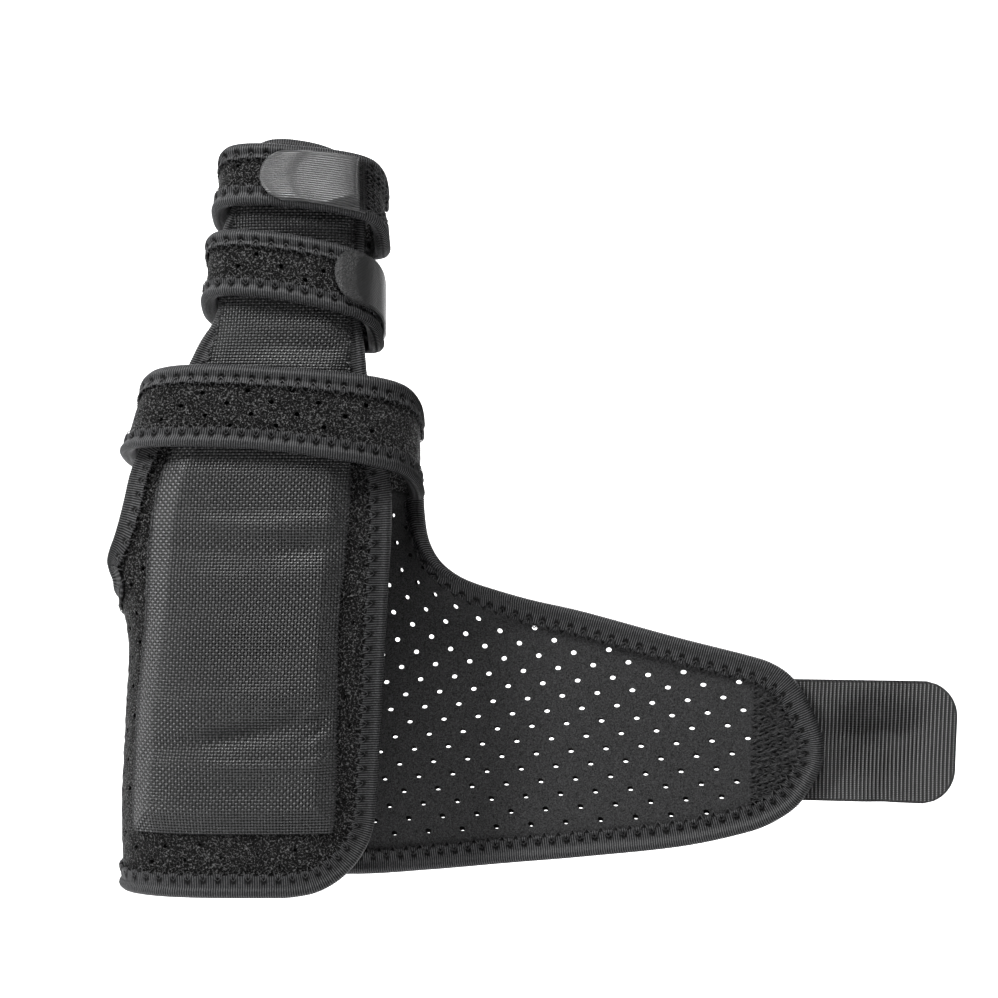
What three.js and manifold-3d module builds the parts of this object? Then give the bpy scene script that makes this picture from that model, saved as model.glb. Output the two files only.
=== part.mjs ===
// Palm brace: a fleece-faced wrap for the wrist and palm with a finger support, two finger
// straps, a knuckle band and a closing wing. Millimetres, +Z towards the fingertips, +X to the
// closing wing, -Y out of the palm. The origin is the middle of the wrist opening.
import * as THREE from 'three';
import { mergeVertices } from 'three/addons/utils/BufferGeometryUtils.js';
import Module from 'manifold-3d';

const wasm = await Module();
wasm.setup();

// Driving dimensions
const laminate = 2.4; // fleece-faced sheet
const clearance = 0.45; // between pieces that lie on each other
const curvedSlot = 0.9; // between a binding and the sheet it folds over, where both curve
const seamGap = 0.8; // open width of the thumb-side butt seam
const tape = 0.6; // binding tape
const tapeRoll = 0.9; // binding at its folded edge
const tapeWidth = 7; // binding from fold to raw edge
const foldShare = 0.9; // share of a binding's half thickness kept at its rolled edge
const bindingLip = clearance + tapeRoll; // finished edge past the laminate's own edge
const bodyFullness = 2.7; // corner fullness of the body sections, 2 is an ellipse
const ringFullness = 3; // corner fullness of straps and band
const panelHeight = 253.3;
const bottomCorner = 28; // radius of the panel's lower corner beside the wing
const tipHeight = 15.5; // height of the rounded fingertip end
const tipApex = 10; // x of the top of that end
const tipBlunt = 0.985; // share of that end's round kept, so its top row has some width
const thumbNotchLow = 99; // foot of the thumb opening
const thumbNotchHigh = 107; // where the panel's thumb edge starts to rise
const seamBehind = 38; // thumb-side butt seam, from the middle of the back
const thumbEdgeEnd = 16; // where the thumb opening meets the band, from the middle of the back
const thumbEdgeStop = 3; // how far below the band the thumb opening's binding stops
const thumbJoin = 2; // the back panel meets the band's sheet from here past the thumb opening
const wingJoin = 5; // and up to here before the wing's top edge
const wingStart = 58; // where the wing's top edge leaves the band, from the middle of the back
const wingSweep = 0.19; // how far the wing comes forward along its length
const wingEase = 40; // length over which it starts to come forward
const wingCosine = 0.985; // run in x for each mm along the wing
const wingFlare = 8; // how far the wing's low edge stands forward
const wingFlareHeight = 45; // height below which it flares
const flareStart = 20; // where the flare begins along the wing
const flareEnd = 120; // and where it is full
const wingLength = 196;
const wrapLow = 84; // the back follows the hand above this height
const wrapHigh = 131; // and follows it fully from here
const wrapFade = 62; // the wing starts to leave the hand here, from the middle of the back
const wrapEnd = 108; // and is clear of it from here
const steepestInset = 2.5; // limit of an edge's inset on a steep run, in binding lips
const holeRadius = 0.8;
const holeAlong = 14; // hole spacing along the wing
const holeAcross = 17; // hole spacing across it
const holeSlope = 0.07; // rise of the rows of holes
const holeSides = 5;
const holeFirst = 52; // first and last hole along the wing, from the middle of the back
const holeLast = 170;
const holeMargin = 10; // from the laminate's edge to the nearest hole
const holeTop = 110; // no row of holes starts above this height
const punchPast = 2; // how far a punch passes each face
const pocketRim = 0.9;
const pocketWrinkle = 0.35;
const wrinkleReach = 3; // half breadth of a wrinkle
const pocketSideRound = 0.12; // share of a pocket's width over which it rises
const pocketEndRound = 5; // length over which it rises at its ends
const palmPocketPuff = 2.4; // pocket cloth and the stay in it
const fingerPocketPuff = 1.4;
const fingerPocketLift = 1.8; // the finger pocket lies over the panel's binding
const hookTab = 1.2;
const closingTabWidth = 41.5;
const closingTabStart = 172;
const closingTabEnd = 240;
const closingTabCorner = 12;
const closingTabMiddle = 49.5; // height of its middle line
const closingTabSteps = 7;
const closingTabRows = 6;
const roundKept = 0.97; // share of a tab's end round kept, so no two points of it meet
const tabSteps = 8;
const tabColumns = [0, 0.08, 0.3, 0.7, 0.92, 1];
const marginShare = 0.2; // widest edge column, as a share of the sheet
const panelMargin = 4.2; // edge column of the palm panel
const cornerPivot = 0.4; // share of the panel's width left of which the lower corner has no effect
const bisections = 40;
const weldDistance = 1e-4;
const degrees = Math.PI / 180;

// Sections of the hand side form, by height: outer face of the laminate
const bodySections = [
  { z: -6, left: -42.6, right: 50.5, front: -28.4, back: 25, mid: 2 },
  { z: 25, left: -43.9, right: 51.5, front: -29, back: 26, mid: 2 },
  { z: 60, left: -42.6, right: 53, front: -28.5, back: 25, mid: 3 },
  { z: 82, left: -41.6, right: 54, front: -27.6, back: 23.6, mid: 4 },
  { z: 98, left: -44, right: 55.2, front: -26.8, back: 22.4, mid: 5 },
  { z: 112, left: -47.8, right: 56.4, front: -26, back: 21.2, mid: 5.5 },
  { z: 125, left: -48, right: 57.5, front: -25.2, back: 20, mid: 6 },
  { z: 140, left: -44.5, right: 57.5, front: -24.5, back: 18.5, mid: 7 },
  { z: 160, left: -38, right: 56, front: -22.5, back: 16, mid: 10 },
  { z: 180, left: -26, right: 50, front: -19.5, back: 13, mid: 14 },
  { z: 200, left: -15.5, right: 46.5, front: -17.5, back: 9.5, mid: 16 },
  { z: 225, left: -13.5, right: 46, front: -17, back: 8, mid: 16 },
  { z: 256, left: -12, right: 45, front: -15.5, back: 7, mid: 16 },
];

// Finished side edges of the palm panel, by height
const panelThumbEdge = [
  { z: 99, x: -43 },
  { z: 105, x: -46 },
  { z: 109, x: -48 },
  { z: 113, x: -47.4 },
  { z: 120, x: -44.6 },
  { z: 131, x: -41.6 },
  { z: 140, x: -39.6 },
  { z: 147, x: -37 },
  { z: 160, x: -29.5 },
  { z: 171, x: -22.8 },
  { z: 180, x: -18.4 },
  { z: 186, x: -15.4 },
  { z: 190, x: -12.4 },
  { z: 196, x: -10.2 },
  { z: 210, x: -9.2 },
  { z: 222, x: -8.8 },
  { z: 230, x: -5.4 },
  { z: 239, x: -4 },
  { z: 254, x: -4 },
];
const panelWingEdge = [
  { z: 0, x: 43 },
  { z: 28, x: 43.8 },
  { z: 46, x: 45 },
  { z: 83, x: 46.8 },
  { z: 109, x: 48.3 },
  { z: 125, x: 49 },
  { z: 137, x: 48.6 },
  { z: 150, x: 46.5 },
  { z: 171, x: 41 },
  { z: 182, x: 39.8 },
  { z: 198, x: 37.8 },
  { z: 214, x: 39.2 },
  { z: 230, x: 40 },
  { z: 254, x: 40 },
];
const panelHeights = [0, 3, 8, 14, 21, 30, 56, 80, 91, 99, 99.12, 99.5, 100.3, 101.8, 104, 107,
  111, 116, 126, 138, 147, 158, 170, 180, 188, 198, 212, 226, 237, 243.5, 248.5, 251.5, 253.3];
const panelColumns = [0, 0.05, 0.1, 0.16, 0.23, 0.33, 0.53, 0.77, 0.92, 1];

// Finished edges of the back panel and wing, by distance from the middle of the back
const thumbEdge = [
  { s: -38, z: 99 },
  { s: -33, z: 100.5 },
  { s: -28, z: 106 },
  { s: -23, z: 116 },
  { s: -19, z: 128 },
  { s: -16, z: 140 },
];
const wingTopEdge = [
  { s: 58, z: 131.7 },
  { s: 61.5, z: 126.4 },
  { s: 66, z: 118.3 },
  { s: 70, z: 110.9 },
  { s: 75.5, z: 105.2 },
  { s: 84.5, z: 100.7 },
  { s: 95, z: 96.8 },
  { s: 113, z: 92.5 },
  { s: 145, z: 84.2 },
  { s: 173.5, z: 77.3 },
  { s: 179, z: 75 },
  { s: 184.4, z: 71.1 },
  { s: 188.8, z: 65.2 },
  { s: 192.7, z: 57.8 },
  { s: 196, z: 49.5 },
];
const wingBottomEdge = [
  { s: -38, z: 0 },
  { s: 0, z: -0.6 },
  { s: 34, z: -0.6 },
  { s: 61, z: 2.1 },
  { s: 88, z: 5.5 },
  { s: 116, z: 8.7 },
  { s: 149, z: 13 },
  { s: 172, z: 18.5 },
  { s: 180, z: 22 },
  { s: 187, z: 26.8 },
  { s: 190.7, z: 31.5 },
  { s: 193.8, z: 37 },
  { s: 196, z: 41.5 },
];
const backStations = [-38, -33, -28, -23, -19, -16.4, -6, 5, 18, 30, 40, 49, 57.6, 61, 64, 67, 70.5,
  74.5, 79, 84, 90, 97, 106, 124, 146, 166, 178, 184.5, 188.8, 192.3, 196];
const backRows = [0, 0.34, 0.55, 0.7, 0.81, 0.91, 1];

// Rings round the hand and fingers: outer sizes at the two edges, and edge heights by angle.
// Angle 0 is the palm side, 90 the wing side, 180 the back, 270 the thumb side.
const knuckleBand = {
  lower: { left: -42.6, right: 58, front: -31.8, back: 18.8, mid: 7 },
  upper: { left: -35, right: 58, front: -29.2, back: 15.5, mid: 10 },
  edges: [
    { angle: 0, low: 148.2, high: 175.6 },
    { angle: 50, low: 141, high: 171 },
    { angle: 90, low: 132, high: 160.5 },
    { angle: 135, low: 134, high: 158 },
    { angle: 180, low: 138, high: 160 },
    { angle: 225, low: 141, high: 163 },
    { angle: 270, low: 145, high: 166 },
    { angle: 310, low: 149, high: 175.6 },
  ],
  stations: 24,
};
const upperStrap = {
  lower: { left: -11.4, right: 46.4, front: -24.4, back: 6.5, mid: 18 },
  upper: { left: -8.8, right: 46, front: -23.4, back: 6, mid: 18 },
  edges: [
    { angle: 0, low: 228.8, high: 249.6 },
    { angle: 50, low: 224.3, high: 246 },
    { angle: 90, low: 216, high: 238 },
    { angle: 135, low: 214.5, high: 236 },
    { angle: 180, low: 217, high: 238.5 },
    { angle: 225, low: 220.5, high: 241.5 },
    { angle: 270, low: 225.5, high: 245 },
    { angle: 310, low: 229.8, high: 250.4 },
  ],
  stations: 20,
};
const lowerStrap = {
  lower: { left: -14.9, right: 44.2, front: -25.4, back: 8.5, mid: 15 },
  upper: { left: -13.2, right: 44, front: -25, back: 8, mid: 15 },
  edges: [
    { angle: 0, low: 197.6, high: 220 },
    { angle: 50, low: 191.2, high: 214.2 },
    { angle: 90, low: 183.5, high: 207 },
    { angle: 135, low: 182.5, high: 205 },
    { angle: 180, low: 186, high: 208 },
    { angle: 225, low: 190, high: 212 },
    { angle: 270, low: 194.5, high: 217 },
    { angle: 310, low: 199.6, high: 221.6 },
  ],
  stations: 20,
};

// Cloth pockets on the panel: side edges by height
const palmPocketEdges = [
  { z: 21.3, left: -38.6, right: 29 },
  { z: 26, left: -39.2, right: 30.2 },
  { z: 61, left: -36.8, right: 31 },
  { z: 91, left: -33.4, right: 31.4 },
  { z: 118, left: -31.8, right: 34 },
  { z: 138, left: -28.4, right: 35.2 },
  { z: 157, left: -20, right: 35 },
];
const palmPocketHeights = [21.3, 23.6, 30, 36, 43, 50, 59, 69, 80, 92, 103, 112, 119, 127, 138, 157];
const palmWrinkles = [36, 50, 59, 69, 112, 127];
const fingerPocketEdges = [
  { z: 162, left: -15.5, right: 34.4 },
  { z: 178, left: -12.4, right: 34.6 },
  { z: 199, left: -7.2, right: 34.6 },
  { z: 226, left: -3.6, right: 36 },
  { z: 243, left: 0.5, right: 36 },
];
const fingerPocketHeights = [162, 164, 172, 180, 188, 198, 208, 220, 230, 241, 243];
const fingerWrinkles = [183, 193, 224];
const pocketColumns = [0, 0.04, 0.14, 0.32, 0.5, 0.68, 0.86, 0.96, 1];

// Hook tabs of the straps: free end, and the share of the strap's height each covers
const upperTab = { tipX: 5.5, tipRound: 0.32, lastAngle: 62 * degrees, low: 0.08, high: 0.88 };
const lowerTab = { tipX: 30, tipRound: 0.22, lastAngle: 140 * degrees, low: 0.2, high: 0.96 };

// The band's lower binding runs from the thumb opening, over the palm, to the wing's top edge
const bandBindingStart = -164 * degrees;
const bandBindingEnd = 92 * degrees;

const fleece = { color: 0x26272a, roughness: 0.95 };
const lining = { color: 0x222326, roughness: 0.85 };
const edging = { color: 0x303236, roughness: 0.8 };
const cloth = { color: 0x33353a, roughness: 0.6 };
const hook = { color: 0x3c3e43, roughness: 0.55 };

// Smooth value of one column of a table at a place between its rows
function columnAt(rows, along, key, at) {
  const last = rows.length - 1;
  if (at <= rows[0][along]) return rows[0][key];
  if (at >= rows[last][along]) return rows[last][key];
  let i = 0;
  while (at > rows[i + 1][along]) i += 1;
  const slope = (a, b) => (rows[b][key] - rows[a][key]) / (rows[b][along] - rows[a][along]);
  const span = rows[i + 1][along] - rows[i][along];
  const startSlope = slope(Math.max(i - 1, 0), i + 1);
  const endSlope = slope(i, Math.min(i + 2, last));
  const t = (at - rows[i][along]) / span;
  const rise = rows[i + 1][key] - rows[i][key];
  const cubic = startSlope * span * (t - 2 * t * t + t * t * t) + endSlope * span * (t * t * t - t * t);
  return rows[i][key] + rise * t * t * (3 - 2 * t) + cubic;
}

function smoothStep(from, to, at) {
  const t = Math.min(Math.max((at - from) / (to - from), 0), 1);
  return t * t * (3 - 2 * t);
}

// Point and outward normal of an oval with four half-axes; angle 0 is its front, 90 its right
function ovalSpot(oval, fullness, angle) {
  const middle = (oval.front + oval.back) / 2;
  const spot = (a) => {
    const across = Math.sin(a);
    const ahead = Math.cos(a);
    const power = Math.abs(across) ** fullness + Math.abs(ahead) ** fullness;
    const reach = power ** (-1 / fullness);
    const halfWidth = across > 0 ? oval.right - oval.mid : oval.mid - oval.left;
    const halfDepth = ahead > 0 ? middle - oval.front : oval.back - middle;
    return [oval.mid + halfWidth * reach * across, middle - halfDepth * reach * ahead];
  };
  const step = 0.001;
  const before = spot(angle - step);
  const after = spot(angle + step);
  const [x, y] = spot(angle);
  const length = Math.hypot(after[0] - before[0], after[1] - before[1]);
  return { x, y, normalX: (after[1] - before[1]) / length, normalY: -(after[0] - before[0]) / length };
}

// A body section with its angles by distance round it, from the front towards the wing
const sectionCache = new Map();
const sectionSteps = 720;
function bodySection(z) {
  if (sectionCache.has(z)) return sectionCache.get(z);
  const oval = {};
  for (const key of ['left', 'right', 'front', 'back', 'mid']) {
    oval[key] = columnAt(bodySections, 'z', key, z);
  }
  const lengths = [];
  let total = 0;
  let last = null;
  for (let i = 0; i <= sectionSteps; i += 1) {
    const spot = ovalSpot(oval, bodyFullness, Math.PI * (2 * i / sectionSteps - 1));
    if (last) total += Math.hypot(spot.x - last.x, spot.y - last.y);
    lengths.push(total);
    last = spot;
  }
  const section = { oval, lengths, thumbHalf: lengths[sectionSteps / 2] };
  sectionCache.set(z, section);
  return section;
}

// Point on the hand side form: s runs round from the front, positive towards the wing,
// and n is out from the laminate's outer face
function bodySpot(s, z, n) {
  const section = bodySection(z);
  const from = Math.max(s + section.thumbHalf, 0);
  let i = 0;
  while (i < sectionSteps - 1 && section.lengths[i + 1] < from) i += 1;
  const share = (from - section.lengths[i]) / (section.lengths[i + 1] - section.lengths[i]);
  const spot = ovalSpot(section.oval, bodyFullness, Math.PI * (2 * (i + share) / sectionSteps - 1));
  return new THREE.Vector3(spot.x + n * spot.normalX, spot.y + n * spot.normalY, z);
}

// Distance round the palm side at which the form reaches x
function reachAtX(x, z) {
  const section = bodySection(z);
  let low = -section.thumbHalf / 2;
  let high = section.thumbHalf / 2;
  for (let i = 0; i < bisections; i += 1) {
    const middle = (low + high) / 2;
    if (bodySpot(middle, z, 0).x < x) low = middle;
    else high = middle;
  }
  return (low + high) / 2;
}

// Point on the back panel and wing: s runs from the middle of the back towards the wing's end
function backSpot(s, z, n) {
  const section = bodySection(z);
  if (s <= 0) return bodySpot(-s - section.thumbHalf, z, n);
  const drop = Math.max(0, 1 - z / wingFlareHeight);
  const flare = wingFlare * drop * drop * smoothStep(flareStart, flareEnd, s);
  const bend = Math.hypot(s, wingEase);
  const x = section.oval.mid + wingCosine * s;
  const y = section.oval.back - wingSweep * (bend - wingEase) - flare;
  const lean = wingSweep * s / bend;
  const leanLength = Math.hypot(1, lean);
  const wing = new THREE.Vector3(x + n * lean / leanLength, y + n / leanLength, z);
  const hug = smoothStep(wrapLow, wrapHigh, z) * (1 - smoothStep(wrapFade, wrapEnd, s));
  if (hug === 0) return wing;
  const total = section.lengths[sectionSteps];
  const sideReach = total - section.thumbHalf - reachToSide(z);
  const round = bodySpot(total - section.thumbHalf - Math.min(s, sideReach), z, n);
  round.y -= Math.max(0, s - sideReach);
  return wing.lerp(round, hug);
}

// Distance round from the front to the form's wing-side extreme
function reachToSide(z) {
  const section = bodySection(z);
  return section.lengths[sectionSteps * 3 / 4] - section.thumbHalf;
}

// Point on a ring: share runs from its lower edge to its upper one
function ringSpot(ring, angle, share, n) {
  const oval = {};
  for (const key of Object.keys(ring.lower)) {
    oval[key] = THREE.MathUtils.lerp(ring.lower[key], ring.upper[key], share);
  }
  const spot = ovalSpot(oval, ringFullness, angle);
  const [low, high] = ringEdges(ring, angle);
  const z = THREE.MathUtils.lerp(low, high, share);
  return new THREE.Vector3(spot.x + n * spot.normalX, spot.y + n * spot.normalY, z);
}

function ringEdges(ring, angle) {
  const turn = 360;
  const at = ((angle / degrees % turn) + turn) % turn;
  const around = [];
  for (const shift of [-turn, 0, turn]) {
    for (const row of ring.edges) around.push({ ...row, angle: row.angle + shift });
  }
  return [columnAt(around, 'angle', 'low', at), columnAt(around, 'angle', 'high', at)];
}

// Angle on a ring's palm side at which its middle reaches x
function ringAngleAtX(ring, x) {
  let low = -Math.PI / 2;
  let high = Math.PI / 2;
  for (let i = 0; i < bisections; i += 1) {
    const middle = (low + high) / 2;
    if (ringSpot(ring, middle, 0.5, 0).x < x) low = middle;
    else high = middle;
  }
  return (low + high) / 2;
}

// A closed wall from a grid of outer and inner points; a ring joins its last row to its first
function wall(grid, isRing = false) {
  const rows = grid.length;
  const columns = grid[0].length;
  const positions = [];
  for (const row of grid) {
    for (const cell of row) positions.push(...cell.outer.toArray(), ...cell.inner.toArray());
  }
  const index = [];
  const at = (i, j, face) => 2 * ((i % rows) * columns + j) + face;
  const quad = (a, b, c, d) => index.push(a, b, c, a, c, d);
  const lastRow = isRing ? rows : rows - 1;
  const side = columns - 1;
  for (let i = 0; i < lastRow; i += 1) {
    for (let j = 0; j < side; j += 1) {
      quad(at(i, j, 0), at(i, j + 1, 0), at(i + 1, j + 1, 0), at(i + 1, j, 0));
      quad(at(i, j, 1), at(i + 1, j, 1), at(i + 1, j + 1, 1), at(i, j + 1, 1));
    }
    quad(at(i, 0, 0), at(i + 1, 0, 0), at(i + 1, 0, 1), at(i, 0, 1));
    quad(at(i, side, 0), at(i, side, 1), at(i + 1, side, 1), at(i + 1, side, 0));
  }
  if (!isRing) {
    for (let j = 0; j < side; j += 1) {
      quad(at(0, j, 0), at(0, j, 1), at(0, j + 1, 1), at(0, j + 1, 0));
      quad(at(lastRow, j, 0), at(lastRow, j + 1, 0), at(lastRow, j + 1, 1), at(lastRow, j, 1));
    }
  }
  return facingOut(positions, index);
}

// Geometry with its faces turned outward, whichever way the grid ran
function facingOut(positions, index) {
  const corner = (i) => new THREE.Vector3().fromArray(positions, 3 * index[i]);
  let volume = 0;
  for (let i = 0; i < index.length; i += 3) {
    volume += corner(i).dot(corner(i + 1).cross(corner(i + 2)));
  }
  if (volume < 0) index.reverse();
  const geometry = new THREE.BufferGeometry();
  geometry.setAttribute('position', new THREE.Float32BufferAttribute(positions, 3));
  geometry.setIndex(index);
  return geometry;
}

// Folded tape along an edge. Stations hold the edge's place on a sheet and the way inward;
// spot gives points of the sheet
function binding(stations, spot) {
  const half = laminate / 2 + curvedSlot;
  const fold = (half + tape) * foldShare;
  const grid = stations.map((station) => {
    const place = (inward, n) => {
      const s = station.s + inward * station.inS;
      const z = station.z + inward * station.inZ;
      return spot(s, z, n - laminate / 2);
    };
    return [
      { outer: place(tapeWidth, half + tape), inner: place(tapeWidth, half) },
      { outer: place(-bindingLip, fold), inner: place(-curvedSlot, half) },
      { outer: place(-bindingLip, -fold), inner: place(-curvedSlot, -half) },
      { outer: place(tapeWidth, -half - tape), inner: place(tapeWidth, -half) },
    ];
  });
  return wall(grid);
}

// The way inward at each station of an edge, to the left of its direction of travel
function withInward(points) {
  return points.map((point, i) => {
    const before = points[Math.max(i - 1, 0)];
    const after = points[Math.min(i + 1, points.length - 1)];
    const alongS = after.s - before.s;
    const alongZ = after.z - before.z;
    const length = Math.hypot(alongS, alongZ);
    return { ...point, inS: -alongZ / length, inZ: alongS / length };
  });
}

// Side limits of the palm panel's laminate at one height, as distances round the form
function panelLimits(height) {
  const isNotch = height >= thumbNotchLow && height <= thumbNotchHigh;
  const inside = THREE.MathUtils.clamp(height, bindingLip, panelHeight - bindingLip);
  const z = isNotch ? inside - bindingLip : inside;
  const fullRight = columnAt(panelWingEdge, 'z', 'x', z) - bindingLip;
  const corner = bottomCorner - bindingLip;
  const down = Math.max(0, bindingLip + corner - z) / corner;
  const tipFoot = panelHeight - tipHeight;
  const up = Math.min(Math.max(0, z - tipFoot) / (tipHeight - bindingLip), tipBlunt);
  const narrowing = Math.sqrt(1 - up * up);
  const right = fullRight - corner * (1 - Math.sqrt(1 - down * down));
  const left = columnAt(panelThumbEdge, 'z', 'x', z) + bindingLip;
  const fromApex = (x) => reachAtX(tipApex + (x - tipApex) * narrowing, z);
  const seam = seamBehind + seamGap / 2 - bodySection(z).thumbHalf;
  let start = fromApex(left);
  if (height < thumbNotchLow) start = seam;
  else if (isNotch) {
    const climb = 1 - (height - thumbNotchLow) / (thumbNotchHigh - thumbNotchLow);
    start = THREE.MathUtils.lerp(seam, start, Math.sqrt(1 - climb * climb));
  }
  return { z, start, end: fromApex(right), fullEnd: fromApex(fullRight) };
}

// Places across the panel at one height, closer together on the thumb side where it turns.
// Those past the pivot draw in where the lower corner is rounded off
function panelPlaces({ start, end, fullEnd }) {
  const margin = Math.min(panelMargin, (fullEnd - start) * marginShare);
  const first = start + margin;
  const last = fullEnd - margin;
  const inner = panelColumns.map((share) => THREE.MathUtils.lerp(first, last, share));
  const pivot = THREE.MathUtils.lerp(start, fullEnd, cornerPivot);
  const drawnIn = (end - pivot) / (fullEnd - pivot);
  return [start, ...inner, fullEnd].map((s) => (s > pivot ? pivot + (s - pivot) * drawnIn : s));
}

function palmPanel() {
  const grid = panelHeights.map((height) => {
    const limits = panelLimits(height);
    return panelPlaces(limits).map((s) => ({
      outer: bodySpot(s, limits.z, 0),
      inner: bodySpot(s, limits.z, -laminate),
    }));
  });
  return wall(grid);
}

// The panel's edge from the back's thumb edge, round the thumb notch, over the tip and
// down to the bottom of the thumb-side seam
function panelEdge() {
  const points = [];
  for (const row of [...thumbEdge].reverse()) {
    const z = row.z - (row.s === -thumbEdgeEnd ? thumbEdgeStop : bindingLip);
    points.push({ s: -row.s - bodySection(z).thumbHalf, z });
  }
  const limits = panelHeights.map(panelLimits);
  for (const height of panelHeights.filter((each) => each > thumbNotchLow)) {
    const { start, z } = panelLimits(height);
    points.push({ s: start, z });
  }
  for (const limit of [...limits].reverse()) points.push({ s: limit.end, z: limit.z });
  const bottom = limits[0];
  for (const s of panelPlaces(bottom).reverse().slice(1)) points.push({ s, z: bottom.z });
  return points;
}

// A crowned cloth pocket on the panel, with a few wrinkles across it
function pocket(edges, heights, wrinkles, lift, fullPuff) {
  const low = heights[0];
  const high = heights[heights.length - 1];
  const grid = heights.map((z) => {
    const start = reachAtX(columnAt(edges, 'z', 'left', z), z);
    const end = reachAtX(columnAt(edges, 'z', 'right', z), z);
    return pocketColumns.map((share) => {
      const s = THREE.MathUtils.lerp(start, end, share);
      const fromSide = smoothStep(0, pocketSideRound, Math.min(share, 1 - share));
      const fromEnd = smoothStep(0, pocketEndRound, Math.min(z - low, high - z));
      const inside = Math.min(fromSide, fromEnd);
      let puff = pocketRim + (fullPuff - pocketRim) * inside;
      for (const wrinkle of wrinkles) {
        const away = (z - wrinkle) / wrinkleReach;
        puff += pocketWrinkle * inside * Math.exp(-away * away);
      }
      return { outer: bodySpot(s, z, lift + puff), inner: bodySpot(s, z, lift) };
    });
  });
  return wall(grid);
}

// Lowest height of the knuckle band above one place on the back
function bandLowAt(s) {
  const spot = backSpot(s, wrapHigh, 0);
  const { lower } = knuckleBand;
  const middle = (lower.front + lower.back) / 2;
  const halfWidth = spot.x > lower.mid ? lower.right - lower.mid : lower.mid - lower.left;
  const angle = Math.atan2((spot.x - lower.mid) / halfWidth, (middle - spot.y) / (lower.back - middle));
  return ringEdges(knuckleBand, angle)[0];
}

// Edges of the back panel's laminate above one place
function backLimits(station) {
  const s = Math.min(station, wingLength - bindingLip);
  const slope = (rows) => columnAt(rows, 's', 'z', s + 0.5) - columnAt(rows, 's', 'z', s - 0.5);
  const inset = (rows) => bindingLip * Math.min(Math.hypot(1, slope(rows)), steepestInset);
  const underBinding = s < thumbJoin - thumbEdgeEnd || s > wingStart - wingJoin;
  let high = bandLowAt(s) - clearance + (underBinding ? 0 : bindingLip);
  const under = (rows) => Math.min(high, columnAt(rows, 's', 'z', s) - inset(rows));
  if (s < -thumbEdgeEnd) high = under(thumbEdge);
  if (s > wingStart) high = under(wingTopEdge);
  const low = columnAt(wingBottomEdge, 's', 'z', s) + inset(wingBottomEdge);
  return { s: Math.max(s, seamGap / 2 - seamBehind), low, high };
}

function backPanel() {
  const grid = backStations.map((station) => {
    const { s, low, high } = backLimits(station);
    const margin = Math.min(tapeWidth, (high - low) * marginShare);
    const inner = backRows.map((share) => THREE.MathUtils.lerp(low + margin, high - margin, share));
    const heights = [low, ...inner, high];
    return heights.map((z) => ({ outer: backSpot(s, z, 0), inner: backSpot(s, z, -laminate) }));
  });
  return wall(grid);
}

// The wing's edge from the bottom of the thumb-side seam, round its end to the knuckle band
function wingEdge() {
  const limits = backStations.map(backLimits);
  const points = limits.map(({ s, low }) => ({ s, z: low }));
  const returning = limits.filter(({ s }) => s > wingStart).reverse();
  for (const { s, high } of returning) points.push({ s, z: high });
  return points;
}

// Small prisms on a centred lattice, one for each hole punched through the wing
function wingHoles() {
  const holes = [];
  for (let row = 0; row * holeAcross / 2 < holeTop; row += 1) {
    const shift = row % 2 ? holeAlong / 2 : 0;
    for (let s = holeFirst + shift; s < holeLast; s += holeAlong) {
      const z = row * holeAcross / 2 + holeSlope * (s - holeFirst);
      const { low, high } = backLimits(s);
      if (z > low + holeMargin && z < high - holeMargin) holes.push(holeAt(s, z));
    }
  }
  return holes;
}

function holeAt(s, z) {
  const outer = backSpot(s, z, punchPast);
  const inner = backSpot(s, z, -laminate - punchPast);
  const axis = outer.clone().sub(inner);
  const prism = new THREE.CylinderGeometry(holeRadius, holeRadius, axis.length(), holeSides);
  const turn = new THREE.Quaternion().setFromUnitVectors(new THREE.Vector3(0, 1, 0), axis.normalize());
  prism.applyQuaternion(turn);
  prism.translate((outer.x + inner.x) / 2, (outer.y + inner.y) / 2, (outer.z + inner.z) / 2);
  return prism;
}

function solidFrom(geometry) {
  const bare = geometry.clone();
  bare.deleteAttribute('normal');
  bare.deleteAttribute('uv');
  const merged = mergeVertices(bare, weldDistance);
  const vertProperties = new Float32Array(merged.attributes.position.array);
  const triVerts = new Uint32Array(merged.index.array);
  return new wasm.Manifold(new wasm.Mesh({ numProp: 3, vertProperties, triVerts }));
}

function geometryFrom(solid) {
  const { vertProperties, triVerts } = solid.getMesh();
  const geometry = new THREE.BufferGeometry();
  geometry.setAttribute('position', new THREE.BufferAttribute(new Float32Array(vertProperties), 3));
  geometry.setIndex(new THREE.BufferAttribute(new Uint32Array(triVerts), 1));
  return geometry;
}

function piercedBackPanel() {
  let solid = solidFrom(backPanel());
  for (const hole of wingHoles()) solid = solid.subtract(solidFrom(hole));
  return geometryFrom(solid);
}

// A fleece ring; the band's and straps' own edges sit inside their bindings
function fleeceRing(ring) {
  const shares = ringShares(ring);
  const grid = [];
  for (let i = 0; i < ring.stations; i += 1) {
    const angle = 2 * Math.PI * i / ring.stations;
    grid.push(shares.map((share) => ({
      outer: ringSpot(ring, angle, share, 0),
      inner: ringSpot(ring, angle, share, -laminate),
    })));
  }
  return wall(grid, true);
}

function ringHeight(ring) {
  return ring.edges[0].high - ring.edges[0].low;
}

function ringShares(ring) {
  const lip = bindingLip / ringHeight(ring);
  const inside = (bindingLip + tapeWidth) / ringHeight(ring);
  return [lip, inside, 1 - inside, 1 - lip];
}

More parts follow.
